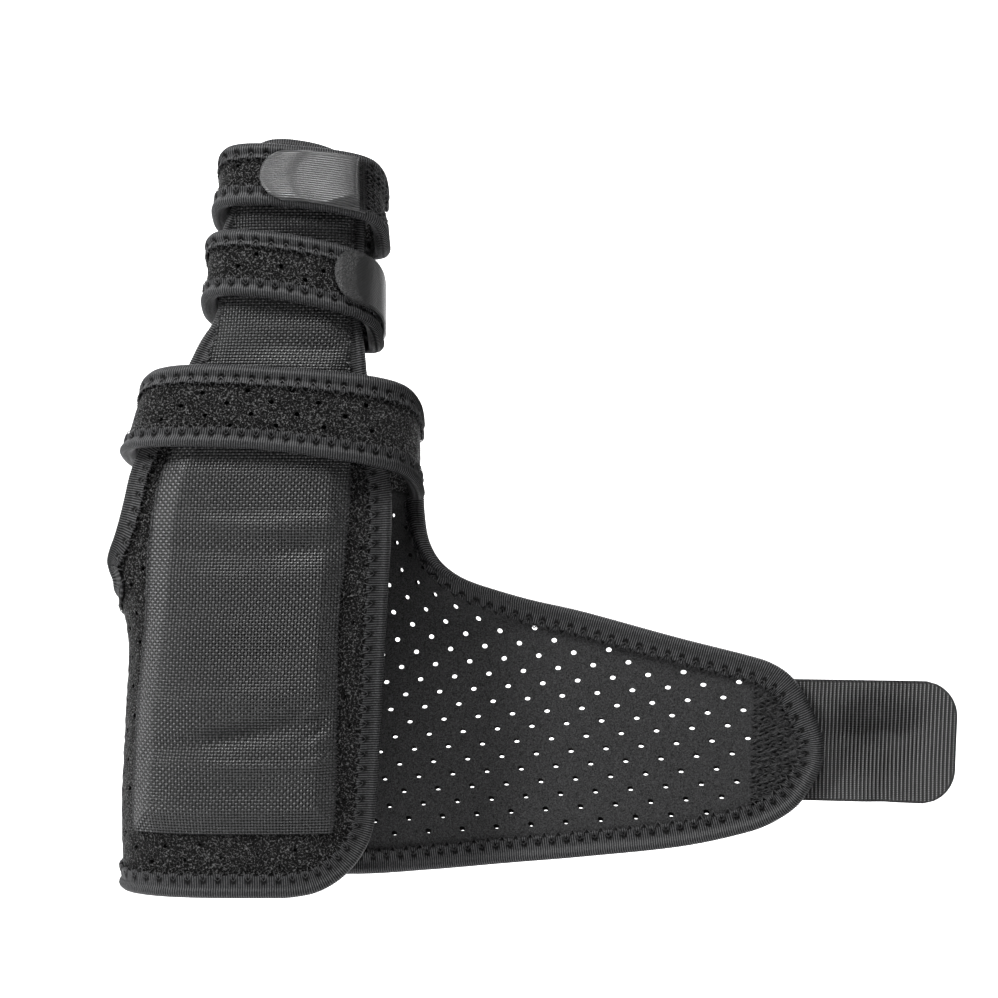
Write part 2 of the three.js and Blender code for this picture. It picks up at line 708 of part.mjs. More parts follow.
// Tape on one edge of a ring, between two angles or all the way round
function ringBinding(ring, isUpper, firstAngle = 0, lastAngle = 2 * Math.PI) {
  const height = ringHeight(ring);
  const isWhole = lastAngle - firstAngle === 2 * Math.PI;
  const steps = Math.round(ring.stations * (lastAngle - firstAngle) / (2 * Math.PI));
  const half = laminate / 2 + clearance;
  const fold = (half + tape) * foldShare;
  const grid = [];
  for (let i = 0; i < (isWhole ? steps : steps + 1); i += 1) {
    const angle = firstAngle + (lastAngle - firstAngle) * i / steps;
    const place = (inward, n) => {
      const fromEdge = (bindingLip + inward) / height;
      return ringSpot(ring, angle, isUpper ? 1 - fromEdge : fromEdge, n - laminate / 2);
    };
    grid.push([
      { outer: place(tapeWidth, half + tape), inner: place(tapeWidth, half) },
      { outer: place(-bindingLip, fold), inner: place(-clearance, half) },
      { outer: place(-bindingLip, -fold), inner: place(-clearance, -half) },
      { outer: place(tapeWidth, -half - tape), inner: place(tapeWidth, -half) },
    ]);
  }
  return wall(grid, isWhole);
}

// A hook tab lying on a ring, with a round free end pointing to the thumb side
function ringTab(ring, tab) {
  const first = ringAngleAtX(ring, tab.tipX);
  const rise = clearance + tape + clearance;
  const grid = [];
  for (let i = 0; i <= tabSteps; i += 1) {
    grid.push(tabColumns.map((across) => {
      const fromMiddle = 2 * across - 1;
      const round = tab.tipRound * (1 - Math.sqrt(1 - fromMiddle * fromMiddle * roundKept));
      const angle = THREE.MathUtils.lerp(first + round, tab.lastAngle, i / tabSteps);
      const share = THREE.MathUtils.lerp(tab.low, tab.high, across);
      const outer = ringSpot(ring, angle, share, rise + hookTab);
      const inner = ringSpot(ring, angle, share, rise);
      return { outer, inner };
    }));
  }
  return wall(grid);
}

// The hook tab on the outer face of the wing's end
function closingTab() {
  const halfWidth = closingTabWidth / 2;
  const rise = curvedSlot + tape + clearance;
  const grid = [];
  for (let i = 0; i <= closingTabSteps; i += 1) {
    grid.push([]);
    for (let j = 0; j <= closingTabRows; j += 1) {
      const across = (2 * j / closingTabRows - 1) * halfWidth;
      const pastCorner = Math.max(0, Math.abs(across) - halfWidth + closingTabCorner);
      const roundHeight = Math.sqrt(closingTabCorner ** 2 - pastCorner ** 2 * roundKept);
      const end = closingTabEnd - closingTabCorner + roundHeight;
      const s = THREE.MathUtils.lerp(closingTabStart, end, i / closingTabSteps);
      const z = closingTabMiddle + across;
      grid[i].push({ outer: backSpot(s, z, rise + hookTab), inner: backSpot(s, z, rise) });
    }
  }
  return wall(grid);
}

const group = new THREE.Group();

function addPiece(name, geometry, look) {
  const material = new THREE.MeshStandardMaterial({ ...look, metalness: 0 });
  const mesh = new THREE.Mesh(geometry, material);
  mesh.name = name;
  group.add(mesh);
}

const panelTape = binding(withInward(panelEdge().reverse()), bodySpot);
const wingTape = binding(withInward(wingEdge()), backSpot);
const bandTape = ringBinding(knuckleBand, false, bandBindingStart, bandBindingEnd);
const palmCloth = pocket(palmPocketEdges, palmPocketHeights, palmWrinkles, clearance, palmPocketPuff);
const fingerCloth = pocket(fingerPocketEdges, fingerPocketHeights, fingerWrinkles,
  fingerPocketLift, fingerPocketPuff);

addPiece('palm_panel', palmPanel(), fleece);
addPiece('palm_panel_binding', panelTape, edging);
addPiece('palm_pocket', palmCloth, cloth);
addPiece('finger_pocket', fingerCloth, cloth);
addPiece('back_panel', piercedBackPanel(), lining);
addPiece('wing_binding', wingTape, edging);
addPiece('knuckle_band', fleeceRing(knuckleBand), fleece);
addPiece('knuckle_band_upper_binding', ringBinding(knuckleBand, true), edging);
addPiece('knuckle_band_lower_binding', bandTape, edging);
addPiece('upper_finger_strap', fleeceRing(upperStrap), fleece);
addPiece('upper_finger_strap_upper_binding', ringBinding(upperStrap, true), edging);
addPiece('upper_finger_strap_lower_binding', ringBinding(upperStrap, false), edging);
addPiece('lower_finger_strap', fleeceRing(lowerStrap), fleece);
addPiece('lower_finger_strap_upper_binding', ringBinding(lowerStrap, true), edging);
addPiece('lower_finger_strap_lower_binding', ringBinding(lowerStrap, false), edging);
addPiece('upper_finger_tab', ringTab(upperStrap, upperTab), hook);
addPiece('lower_finger_tab', ringTab(lowerStrap, lowerTab), hook);
addPiece('closing_tab', closingTab(), hook);

export default group;
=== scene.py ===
import math
import bmesh
import bpy
import numpy as np
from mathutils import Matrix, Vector
from mathutils.geometry import delaunay_2d_cdt


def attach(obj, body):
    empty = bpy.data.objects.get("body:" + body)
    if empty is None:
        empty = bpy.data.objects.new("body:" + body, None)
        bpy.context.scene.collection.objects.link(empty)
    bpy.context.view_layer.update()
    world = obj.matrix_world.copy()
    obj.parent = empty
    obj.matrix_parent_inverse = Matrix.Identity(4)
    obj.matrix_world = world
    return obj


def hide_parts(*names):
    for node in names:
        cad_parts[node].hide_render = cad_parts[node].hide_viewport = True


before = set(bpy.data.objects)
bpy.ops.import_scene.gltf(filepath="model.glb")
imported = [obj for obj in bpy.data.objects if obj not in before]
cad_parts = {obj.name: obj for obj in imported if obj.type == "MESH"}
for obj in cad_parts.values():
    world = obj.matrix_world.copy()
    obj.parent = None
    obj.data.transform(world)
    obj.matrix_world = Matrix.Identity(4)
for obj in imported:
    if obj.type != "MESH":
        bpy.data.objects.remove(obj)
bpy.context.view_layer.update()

rng = np.random.default_rng(11)
print("frame loaded:", len(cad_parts), "nodes")

# sizes are in mm here, and become metres when a mesh is made
cloth = {
    "laminate": 2.4,
    "slot": 0.7,  # room a binding leaves over the sheet
    "ringSlot": 0.4,
    "seamGap": 0.12,
    "clearance": 0.08,
    "tape": 0.6,
    "tapeWidth": 7.0,
    "lip": 1.35,  # finished edge past the sheet's own edge
    "ribPitch": 0.8,
    "ribHeight": 0.1,
}


def smoothTable(rows):
    keys, values = (np.array(c, float) for c in zip(*rows))
    tangents = np.empty(len(keys))
    tangents[1:-1] = (values[2:] - values[:-2]) / (keys[2:] - keys[:-2])
    tangents[0] = (values[1] - values[0]) / (keys[1] - keys[0])
    tangents[-1] = (values[-1] - values[-2]) / (keys[-1] - keys[-2])

    def at(q):
        q = np.clip(np.asarray(q, float), keys[0], keys[-1])
        i = np.clip(np.searchsorted(keys, q, "right") - 1, 0, len(keys) - 2)
        h = keys[i + 1] - keys[i]
        t = (q - keys[i]) / h
        rise = (values[i + 1] - values[i]) * t * t * (3 - 2 * t)
        start = tangents[i] * h * (t - 2 * t * t + t**3)
        return values[i] + rise + start + tangents[i + 1] * h * (t**3 - t * t)

    return at


def tableColumn(rows, k):  # one column of a table, by its first
    return smoothTable([(row[0], row[k]) for row in rows])


def pairs(a, b):  # two rows of values as points of a flat sheet
    return np.stack(np.broadcast_arrays(a, b), axis=1)


def runAlong(points):  # distance along a line of points
    return np.concatenate([[0], np.cumsum(np.linalg.norm(np.diff(points, axis=0), axis=1))])


def smoothStep(low, high, at):
    t = np.clip((np.asarray(at, float) - low) / (high - low), 0, 1)
    return t * t * (3 - 2 * t)


def hills(u, v, size, seed):  # soft random hills, -1 to 1, about size mm across
    side = 97
    table = np.random.default_rng(seed).uniform(-1, 1, (side, side))
    a, b = np.asarray(u, float) / size, np.asarray(v, float) / size
    i, j = np.floor(a).astype(int), np.floor(b).astype(int)
    fa, fb = smoothStep(0, 1, a - i), smoothStep(0, 1, b - j)
    pick = lambda x, y: table[x % side, y % side]
    near = pick(i, j) * (1 - fa) + pick(i + 1, j) * fa
    far = pick(i, j + 1) * (1 - fa) + pick(i + 1, j + 1) * fa
    return near * (1 - fb) + far * fb


# the form that the cloth goes round: height, left, right, front, back, middle
braceForm = {
    "fullness": 2.7,
    "sections": [
        (-6, -42.6, 50.5, -28.4, 25, 2), (25, -43.9, 51.5, -29, 26, 2), (60, -42.6, 53, -28.5, 25, 3),
        (82, -41.6, 54, -27.6, 23.6, 4), (98, -44, 55.2, -26.8, 22.4, 5), (112, -47.8, 56.4, -26, 21.2, 5.5),
        (125, -48, 57.5, -25.2, 20, 6), (140, -44.5, 57.5, -24.5, 18.5, 7), (160, -38, 56, -22.5, 16, 10),
        (180, -26, 50, -19.5, 13, 14), (200, -15.5, 46.5, -17.5, 9.5, 16), (225, -13.5, 46, -17, 8, 16),
        (256, -12, 45, -15.5, 7, 16)],
}
ovalKeys = ("left", "right", "front", "back", "mid")
formAt = {key: tableColumn(braceForm["sections"], i + 1) for i, key in enumerate(ovalKeys)}


def ovalPoint(oval, fullness, angle):
    across, ahead = np.sin(angle), np.cos(angle)
    reach = (np.abs(across) ** fullness + np.abs(ahead) ** fullness) ** (-1 / fullness)
    halfWidth = np.where(across > 0, oval["right"] - oval["mid"], oval["mid"] - oval["left"])
    halfDepth = (oval["back"] - oval["front"]) / 2
    middle = (oval["back"] + oval["front"]) / 2
    return oval["mid"] + halfWidth * reach * across, middle - halfDepth * reach * ahead


def ovalOut(oval, fullness, angle, n):
    x, y = ovalPoint(oval, fullness, angle)
    xa, ya = ovalPoint(oval, fullness, angle - 0.001)
    xb, yb = ovalPoint(oval, fullness, angle + 0.001)
    long = np.hypot(xb - xa, yb - ya)
    return x + n * (yb - ya) / long, y - n * (xb - xa) / long


# angle on the form by distance round it from the front's middle, on a fine grid
gridHeights = np.arange(-14.0, 262.0, 1.0)
reachStep = 0.25
gridReach = np.arange(-170.0, 190.0, reachStep)
gridAngles = np.linspace(-math.pi, math.pi, 1441)
atFront, atSide = 720, 1080  # the front's middle and the wing side in gridAngles
angleGrid = np.empty((len(gridHeights), len(gridReach)))
thumbHalves, wingHalves, sideReaches = (np.empty(len(gridHeights)) for _ in range(3))
for row, height in enumerate(gridHeights):
    px, py = ovalPoint({key: formAt[key](height) for key in ovalKeys}, braceForm["fullness"], gridAngles)
    run = np.concatenate([[0], np.cumsum(np.hypot(np.diff(px), np.diff(py)))])
    thumbHalves[row], wingHalves[row] = run[atFront], run[-1] - run[atFront]
    sideReaches[row] = run[atSide] - run[atFront]
    angleGrid[row] = np.interp(gridReach, run - run[atFront], gridAngles)
thumbHalf = lambda z: np.interp(z, gridHeights, thumbHalves)
wingHalf = lambda z: np.interp(z, gridHeights, wingHalves)
sideReach = lambda z: np.interp(z, gridHeights, sideReaches)


def formAngle(s, z):
    a = np.clip((z - gridHeights[0]), 0, len(gridHeights) - 1.001)
    b = np.clip((s - gridReach[0]) / reachStep, 0, len(gridReach) - 1.001)
    i, j = a.astype(int), b.astype(int)
    fa, fb = a - i, b - j
    low = angleGrid[i, j] * (1 - fb) + angleGrid[i, j + 1] * fb
    high = angleGrid[i + 1, j] * (1 - fb) + angleGrid[i + 1, j + 1] * fb
    return low * (1 - fa) + high * fa


def palmPlace(s, z, n=0.0):  # s runs round from the front's middle, n is out from the sheet's outer face
    s, z, n = np.broadcast_arrays(np.asarray(s, float), np.asarray(z, float), np.asarray(n, float))
    oval = {key: formAt[key](z) for key in ovalKeys}
    x, y = ovalOut(oval, braceForm["fullness"], formAngle(s, z), n)
    return np.stack([x, y, z], axis=-1)


def reachAtX(x, z):
    x, z = np.broadcast_arrays(np.asarray(x, float), np.asarray(z, float))
    low, high = -thumbHalf(z) / 2, thumbHalf(z) / 2
    for _ in range(30):
        middle = (low + high) / 2
        short = palmPlace(middle, z)[..., 0] < x
        low, high = np.where(short, middle, low), np.where(short, high, middle)
    return (low + high) / 2


# the back panel and the wing that closes the wrap
wing = {
    "sweep": 0.19, "ease": 40, "cosine": 0.985,
    "flare": 8, "flareHeight": 45, "flareStart": 20, "flareEnd": 120,
    "wrapLow": 84, "wrapHigh": 131, "wrapFade": 62, "wrapEnd": 108, "length": 196, "start": 58,
    "seamBehind": 38, "thumbEnd": 16, "thumbStop": 3, "thumbJoin": 2, "wingJoin": 5, "steepest": 2.5,
    # distance from the middle of the back, and height
    "thumbEdge": [(-38, 99), (-33, 100.5), (-28, 106), (-23, 116), (-19, 128), (-16, 140)],
    "topEdge": [(58, 131.7), (61.5, 126.4), (66, 118.3), (70, 110.9), (75.5, 105.2), (84.5, 100.7), (95, 96.8),
                (113, 92.5), (145, 84.2), (173.5, 77.3), (179, 75), (184.4, 71.1), (188.8, 65.2), (192.7, 57.8),
                (196, 49.5)],
    "bottomEdge": [(-38, 0), (0, -0.6), (34, -0.6), (61, 2.1), (88, 5.5), (116, 8.7), (149, 13), (172, 18.5),
                   (180, 22), (187, 26.8), (190.7, 31.5), (193.8, 37), (196, 41.5)],
    "holeRun": (12.2, 1.15), "holeRise": (-1.9, 9.6), "holeRadius": 0.9, "holeShape": (1.2, 0.86, -0.2),
    "holeLast": 171, "holeMargin": 0.9, "holeLean": 1.75, "leanLow": 12, "leanHigh": 92,
    "sag": 0.5, "spacing": 1.9, "blockSpacing": 0.42, "crinkle": 0.16,
    "straightEnd": 170, "roundStart": 170.8,  # the round end has closer points
    "blockStart": 171, "blockEnd": 186,  # where the closing tab is sewn on
    "pitColumns": 7, "pitRows": 34, "pitAcross": 2.2, "pitUp": 1.9, "pitLow": 12, "pucker": 0.4,
}


def backPlace(s, z, n=0.0):  # s runs from the middle of the back to the wing's end
    s, z, n = (np.array(a, float) for a in np.broadcast_arrays(s, z, n))
    body = palmPlace(-s - thumbHalf(z), z, n)
    drop = np.maximum(0, 1 - z / wing["flareHeight"])
    flare = wing["flare"] * drop * drop * smoothStep(wing["flareStart"], wing["flareEnd"], s)
    bend = np.hypot(s, wing["ease"])
    lean = wing["sweep"] * s / bend
    long = np.hypot(1, lean)
    x = formAt["mid"](z) + wing["cosine"] * s + n * lean / long
    y = formAt["back"](z) - wing["sweep"] * (bend - wing["ease"]) - flare + n / long
    flat = np.stack([x, y, z], axis=-1)
    hug = smoothStep(wing["wrapLow"], wing["wrapHigh"], z)
    hug = hug * (1 - smoothStep(wing["wrapFade"], wing["wrapEnd"], s))
    side = wingHalf(z) - sideReach(z)
    around = palmPlace(wingHalf(z) - np.minimum(s, side), z, n)
    around[..., 1] -= np.maximum(0, s - side)
    open_ = flat * (1 - hug[..., None]) + around * hug[..., None]
    return np.where((s <= 0)[..., None], body, open_)


# rings: two ovals, the lower and the upper edge, and edge heights by angle from the front's middle
rings = {
    "knuckle_band": {
        "lower": (-42.6, 58, -31.8, 18.8, 7), "upper": (-35, 58, -29.2, 15.5, 10), "wave": 0.35,
        "edges": [(0, 148.2, 175.6), (50, 141, 171), (90, 132, 160.5), (135, 134, 158), (180, 138, 160),
                  (225, 141, 163), (270, 145, 166), (310, 149, 175.6)]},
    "upper_finger_strap": {
        "lower": (-11.4, 46.4, -24.4, 6.5, 18), "upper": (-8.8, 46, -23.4, 6, 18), "wave": 0.2,
        "edges": [(0, 228.8, 249.6), (50, 224.3, 246), (90, 216, 238), (135, 214.5, 236), (180, 217, 238.5),
                  (225, 220.5, 241.5), (270, 225.5, 245), (310, 229.8, 250.4)]},
    "lower_finger_strap": {
        "lower": (-14.9, 44.2, -25.4, 8.5, 15), "upper": (-13.2, 44, -25, 8, 15), "wave": 0.2,
        "edges": [(0, 197.6, 220), (50, 191.2, 214.2), (90, 183.5, 207), (135, 182.5, 205), (180, 186, 208),
                  (225, 190, 212), (270, 194.5, 217), (310, 199.6, 221.6)]},
}
ringCloth = {"fullness": 3, "holeRise": (-1.9, 7.5), "holeMargin": 5.6, "spacing": 1.25}
for ring in rings.values():
    around = [(a + turn, low, high) for turn in (-360, 0, 360) for a, low, high in ring["edges"]]
    ring["low"], ring["high"] = tableColumn(around, 1), tableColumn(around, 2)
    ring["height"] = ring["edges"][0][2] - ring["edges"][0][1]


def ringPlace(ring, angle, share, n=0.0):  # angle in degrees, share from the lower edge to the upper
    angle, share, n = (np.array(a, float) for a in np.broadcast_arrays(angle, share, n))
    oval = {key: ring["lower"][i] * (1 - share) + ring["upper"][i] * share for i, key in enumerate(ovalKeys)}
    x, y = ovalOut(oval, ringCloth["fullness"], np.radians(angle), n)
    low, high = ring["low"](angle % 360), ring["high"](angle % 360)
    return np.stack([x, y, low + (high - low) * share], axis=-1)


def ringAngleAtX(ring, x):
    low, high = -90.0, 90.0
    for _ in range(40):
        middle = (low + high) / 2
        if ringPlace(ring, middle, 0.5)[0] < x:
            low = middle
        else:
            high = middle
    return (low + high) / 2


# mesh makers
def makeMesh(name, points, faces, uv=None, sharp=40):
    mesh = bpy.data.meshes.new(name)
    mesh.from_pydata((np.asarray(points, float) * 0.001).tolist(), [], faces)
    mesh.validate()
    mesh.update()
    if uv is not None:
        layer = mesh.uv_layers.new(name="cloth")
        corner = np.empty(len(mesh.loops), np.int32)
        mesh.loops.foreach_get("vertex_index", corner)
        layer.data.foreach_set("uv", np.asarray(uv, np.float32)[corner].ravel())
    mesh.shade_smooth()
    mesh.set_sharp_from_angle(angle=math.radians(sharp))
    piece = bpy.data.objects.new(name, mesh)
    bpy.context.scene.collection.objects.link(piece)
    return piece


def signedVolume(points, faces):
    total = 0.0
    p = np.asarray(points, float)
    for size in (3, 4):
        group = np.array([f for f in faces if len(f) == size], int).reshape(-1, size)
        for k in range(1, size - 1):
            total += np.einsum("ij,ij->", p[group[:, 0]], np.cross(p[group[:, k]], p[group[:, k + 1]]))
    return total


def closedSheet(name, faces, outer, inner, uv, joined=None, sharp=40):
    # outer and inner skins of the same faces, with a wall along every free edge but the joined ones
    count = len(outer)
    uses = {}
    for face in faces:
        for a, b in zip(face, face[1:] + face[:1]):
            uses[(a, b)] = 1
    full = list(faces) + [tuple(v + count for v in reversed(f)) for f in faces]
    for a, b in uses:
        if (b, a) not in uses and not (joined is not None and joined[a] and joined[b]):
            full.append((b, a, a + count, b + count))
    points = np.concatenate([outer, inner])
    if signedVolume(points, full) < 0:
        full = [tuple(reversed(f)) for f in full]
    piece = makeMesh(name, points, full, np.concatenate([uv, uv]), sharp)
    if joined is not None:
        weldSeam(piece)
    return piece


def weldSeam(piece):
    bm = bmesh.new()
    bm.from_mesh(piece.data)
    bmesh.ops.remove_doubles(bm, verts=bm.verts, dist=0.00001)
    bm.to_mesh(piece.data)
    bm.free()


def markPoints(piece, name, values):  # a value on each point, for the finish to read
    mark = piece.data.attributes.new(name, "FLOAT", "POINT")
    mark.data.foreach_set("value", np.asarray(values, np.float32))


def keepUsed(faces, count):  # drops the points that no face has, and renumbers the rest
    used = np.unique(np.array(faces))
    renumber = np.full(count, -1)
    renumber[used] = np.arange(len(used))
    return used, [tuple(int(renumber[i]) for i in f) for f in faces]


def gridFaces(rows, columns, ringRows=False, ringColumns=False):
    faces = []
    for i in range(rows if ringRows else rows - 1):
        for j in range(columns if ringColumns else columns - 1):
            a, b = i * columns + j, i * columns + (j + 1) % columns
            c, d = ((i + 1) % rows) * columns + (j + 1) % columns, ((i + 1) % rows) * columns + j
            faces.append((a, b, c, d))
    return faces


def insideOutline(points, outline):
    inside = np.zeros(len(points), bool)
    x, y = points[:, 0], points[:, 1]
    for (ax, ay), (bx, by) in zip(outline, np.roll(outline, -1, axis=0)):
        if ay != by:
            cross = ((ay > y) != (by > y)) & (x < (bx - ax) * (y - ay) / (by - ay) + ax)
            inside ^= cross
    return inside


def nearOutline(points, outline, gap):
    near = np.zeros(len(points), bool)
    for a, b in zip(outline, np.roll(outline, -1, axis=0)):
        d = b - a
        t = np.clip(((points - a) @ d) / max(d @ d, 1e-9), 0, 1)
        near |= ((points - a - t[:, None] * d) ** 2).sum(1) < gap * gap
    return near


def punchedFaces(outline, holes, radius, spacing, seed, stretch=(1, 1, 0), finer=None):
    # flat triangles inside an outline, with a round of points kept free for every hole
    local = np.random.default_rng(seed)
    sides = 12
    turns = np.arange(sides) * 2 * math.pi / sides
    wide, tall, tilt = stretch
    ring = np.stack([wide * np.cos(turns), tall * np.sin(turns)], axis=1)
    ring = ring @ np.array([[math.cos(tilt), math.sin(tilt)], [-math.sin(tilt), math.cos(tilt)]])

    def scatter(low, high, gap):
        rows = np.arange(low[1], high[1], gap * 0.866)
        row = np.arange(low[0], high[0], gap)
        spots = np.array([(x + (i % 2) * gap / 2, y) for i, y in enumerate(rows) for x in row])
        spots += local.uniform(-0.12, 0.12, spots.shape) * gap
        spots = spots[insideOutline(spots, outline)]
        return spots[~nearOutline(spots, outline, gap * 0.55)]

    grid = scatter(outline.min(0), outline.max(0), spacing)
    if finer:
        start, gap = finer
        fine = scatter((start, outline[:, 1].min()), outline.max(0), gap)
        grid = np.concatenate([grid[grid[:, 0] < start], fine])
    for hole in holes:
        grid = grid[((grid - hole) ** 2).sum(1) > (radius * 2.1) ** 2]
    points = [outline, grid]
    edges = [(i, (i + 1) % len(outline)) for i in range(len(outline))]
    start = len(outline) + len(grid)
    for hole in holes:
        points += [hole + ring * radius, hole + ring * radius * 1.5]
        edges += [(start + i, start + (i + 1) % sides) for i in range(sides)]
        start += 2 * sides
    flat = np.concatenate(points)
    verts, _, faces, _, _, _ = delaunay_2d_cdt([tuple(p) for p in flat], edges, [], 0, 1e-6)
    flat = np.array([tuple(v) for v in verts])
    faces = np.array([f for f in faces if len(f) == 3], int)
    centre = flat[faces].mean(1)
    keep = insideOutline(centre, outline)
    for hole in holes:
        keep &= ~insideOutline(centre, hole + ring * radius)
    return flat, [tuple(int(i) for i in f) for f in faces[keep]]


def holeDip(flat, holes, radius, depth):  # the face sinks a little round each hole
    dip = np.zeros(len(flat))
    for hole in holes:
        d = np.sqrt(((flat - hole) ** 2).sum(1))
        dip = np.maximum(dip, depth * np.exp(-((d / (radius * 1.5)) ** 2)))
    return dip


def evenly(points, spacing, place):
    # the same line again at even steps of its true length
    points = np.asarray(points, float)
    for _ in range(2):
        run = runAlong(place(points[:, 0], points[:, 1]))
        steps = max(8, int(round(run[-1] / spacing)))
        at = np.linspace(0, run[-1], steps + 1)
        points = np.stack([np.interp(at, run, points[:, k]) for k in range(2)], axis=1)
    return points, at


def softened(points, reach):  # takes the kinks out of an edge line
    kernel = np.exp(-0.5 * (np.arange(-3 * reach, 3 * reach + 1) / reach) ** 2)
    kernel /= kernel.sum()
    before, after = points[3 * reach:0:-1], points[-2:-3 * reach - 2:-1]
    wide = np.concatenate([2 * points[:1] - before, points, 2 * points[-1:] - after])
    return np.stack([np.convolve(wide[:, k], kernel, "valid") for k in range(2)], axis=1)


# materials
def shaderOf(material):
    return material.node_tree.nodes["Principled BSDF"]


def newMaterial(name, roughness, specular=0.4):
    material = bpy.data.materials.new(name)
    material.use_nodes = True
    shaderOf(material).inputs["Roughness"].default_value = roughness
    shaderOf(material).inputs["Specular IOR Level"].default_value = specular
    return material


def addNode(material, kind, **values):
    node = material.node_tree.nodes.new(kind)
    for key, value in values.items():
        if key in node.inputs:
            node.inputs[key].default_value = value
        else:
            setattr(node, key, value)
    return node


def wire(material, output, socket):
    material.node_tree.links.new(output, socket)


def mathNode(material, operation, a, b=None, clamp=False):
    node = addNode(material, "ShaderNodeMath", operation=operation, use_clamp=clamp)
    for socket, value in zip(node.inputs, (a, b)):
        if isinstance(value, (int, float)):
            socket.default_value = value
        elif value is not None:
            wire(material, value, socket)
    return node.outputs[0]


def plus(material, a, b):
    return mathNode(material, "ADD", a, b)


def minus(material, a, b, clamp=False):
    return mathNode(material, "SUBTRACT", a, b, clamp)


def times(material, a, b, clamp=False):
    return mathNode(material, "MULTIPLY", a, b, clamp)


def setColour(material, factor, stops):
    ramp = addNode(material, "ShaderNodeValToRGB")
    while len(ramp.color_ramp.elements) < len(stops):
        ramp.color_ramp.elements.new(0.5)
    for element, (at, colour) in zip(ramp.color_ramp.elements, stops):
        element.position = at
        element.color = (*colour, 1)
    wire(material, factor, ramp.inputs["Fac"])
    wire(material, ramp.outputs["Color"], shaderOf(material).inputs["Base Color"])


def objectNoise(material, scale, detail, roughness, output="Fac"):
    place = addNode(material, "ShaderNodeTexCoord")
    noise = addNode(material, "ShaderNodeTexNoise", Scale=scale, Detail=detail, Roughness=roughness)
    wire(material, place.outputs["Object"], noise.inputs["Vector"])
    return noise.outputs[output]


def addBump(material, height, strength, distance):
    bump = addNode(material, "ShaderNodeBump", Strength=strength, Distance=distance)
    wire(material, height, bump.inputs["Height"])
    wire(material, bump.outputs["Normal"], shaderOf(material).inputs["Normal"])


def clothAxis(material, axis):  # mm along or across the cloth
    place = addNode(material, "ShaderNodeUVMap", uv_map="cloth")
    split = addNode(material, "ShaderNodeSeparateXYZ")
    wire(material, place.outputs["UV"], split.inputs["Vector"])
    return split.outputs[axis]


def clothWave(material, axis, pitch):
    return mathNode(material, "SINE", times(material, clothAxis(material, axis), 2 * math.pi / pitch))


def pointMark(material, name):
    return addNode(material, "ShaderNodeAttribute", attribute_name=name).outputs["Fac"]


fleeceLook = {
    "gap": 0.0005, "nap": 0.0065, "fibre_glint": 0.205,  # greys from between the fibres to their tops: painted shade in the gaps, painted glints on the tops
    "loop": 900, "curl": 1500, "speck": 1700, "push": 0.0016, "wall": 4.5,
    "bareBelow": 0.36, "breakUp": 4.0, "breakHeight": 0.8, "bump": 1.0, "bumpDepth": 0.0006,
}


def fleeceMaterial():
    # curled fibres: the bent walls of small cells, broken up by a fine noise, with painted glints on the fibre
    # tops and painted shade between them
    look = fleeceLook
    fleece = newMaterial("crinkled_fleece", 0.5, 0.12)
    push = addNode(fleece, "ShaderNodeVectorMath", operation="MULTIPLY_ADD")
    push.inputs[1].default_value = (look["push"],) * 3
    wire(fleece, objectNoise(fleece, look["curl"], 2, 0.6, "Color"), push.inputs[0])
    wire(fleece, addNode(fleece, "ShaderNodeTexCoord").outputs["Object"], push.inputs[2])
    cells = addNode(fleece, "ShaderNodeTexVoronoi", feature="DISTANCE_TO_EDGE", Scale=look["loop"])
    wire(fleece, push.outputs[0], cells.inputs["Vector"])
    fibre_glint = minus(fleece, 1.0, times(fleece, cells.outputs["Distance"], look["wall"]), clamp=True)
    speck = objectNoise(fleece, look["speck"], 2, 0.6)
    broken = times(fleece, minus(fleece, speck, look["bareBelow"]), look["breakUp"], clamp=True)
    # painted light: the fibre tops get a bright glint grey, the gaps a near-black shade
    stops = [(at, (look[key],) * 3) for at, key in ((0.05, "gap"), (0.35, "nap"), (0.9, "fibre_glint"))]
    setColour(fleece, times(fleece, fibre_glint, broken), stops)
    height = plus(fleece, fibre_glint, times(fleece, broken, look["breakHeight"]))
    addBump(fleece, height, look["bump"], look["bumpDepth"])
    return fleece


liningLook = {"dark": (0.001, 0.001, 0.0011), "light": (0.05, 0.05, 0.0512), "grain": 2000}


def liningMaterial():
    lining = newMaterial("smooth_lining", 0.65, 0.12)
    grain = objectNoise(lining, liningLook["grain"], 3, 0.75)
    setColour(lining, grain, [(0.32, liningLook["dark"]), (0.68, liningLook["light"])])
    addBump(lining, grain, 0.6, 0.0004)
    return lining


tapeLook = {"dark": (0.001, 0.001, 0.0011), "mid": (0.011, 0.011, 0.0114), "light": (0.094, 0.095, 0.098),
            "rib": 0.27, "ribTone": 0.3, "grain": 0.55, "grainHeight": 0.5}


def tapeMaterial():
    # painted shade: dark between the ribs and where a stitch pulls the tape in
    tape = newMaterial("ribbed_tape", 0.45, 0.14)
    wave = clothWave(tape, "X", cloth["ribPitch"])
    # the rib wave, for the bump and for painted shade in the rib valleys
    rib = plus(tape, times(tape, wave, tapeLook["rib"]), tapeLook["ribTone"])
    grain = objectNoise(tape, 1500, 3, 0.7)
    tone = plus(tape, rib, times(tape, grain, tapeLook["grain"]))
    # painted shade from the dents, the notches and the under faces
    tone = minus(tape, tone, pointMark(tape, "painted_tape_shade"))
    setColour(tape, tone, [(0.22, tapeLook["dark"]), (0.55, tapeLook["mid"]), (0.92, tapeLook["light"])])
    addBump(tape, plus(tape, rib, times(tape, grain, tapeLook["grainHeight"])), 0.6, 0.0003)
    return tape


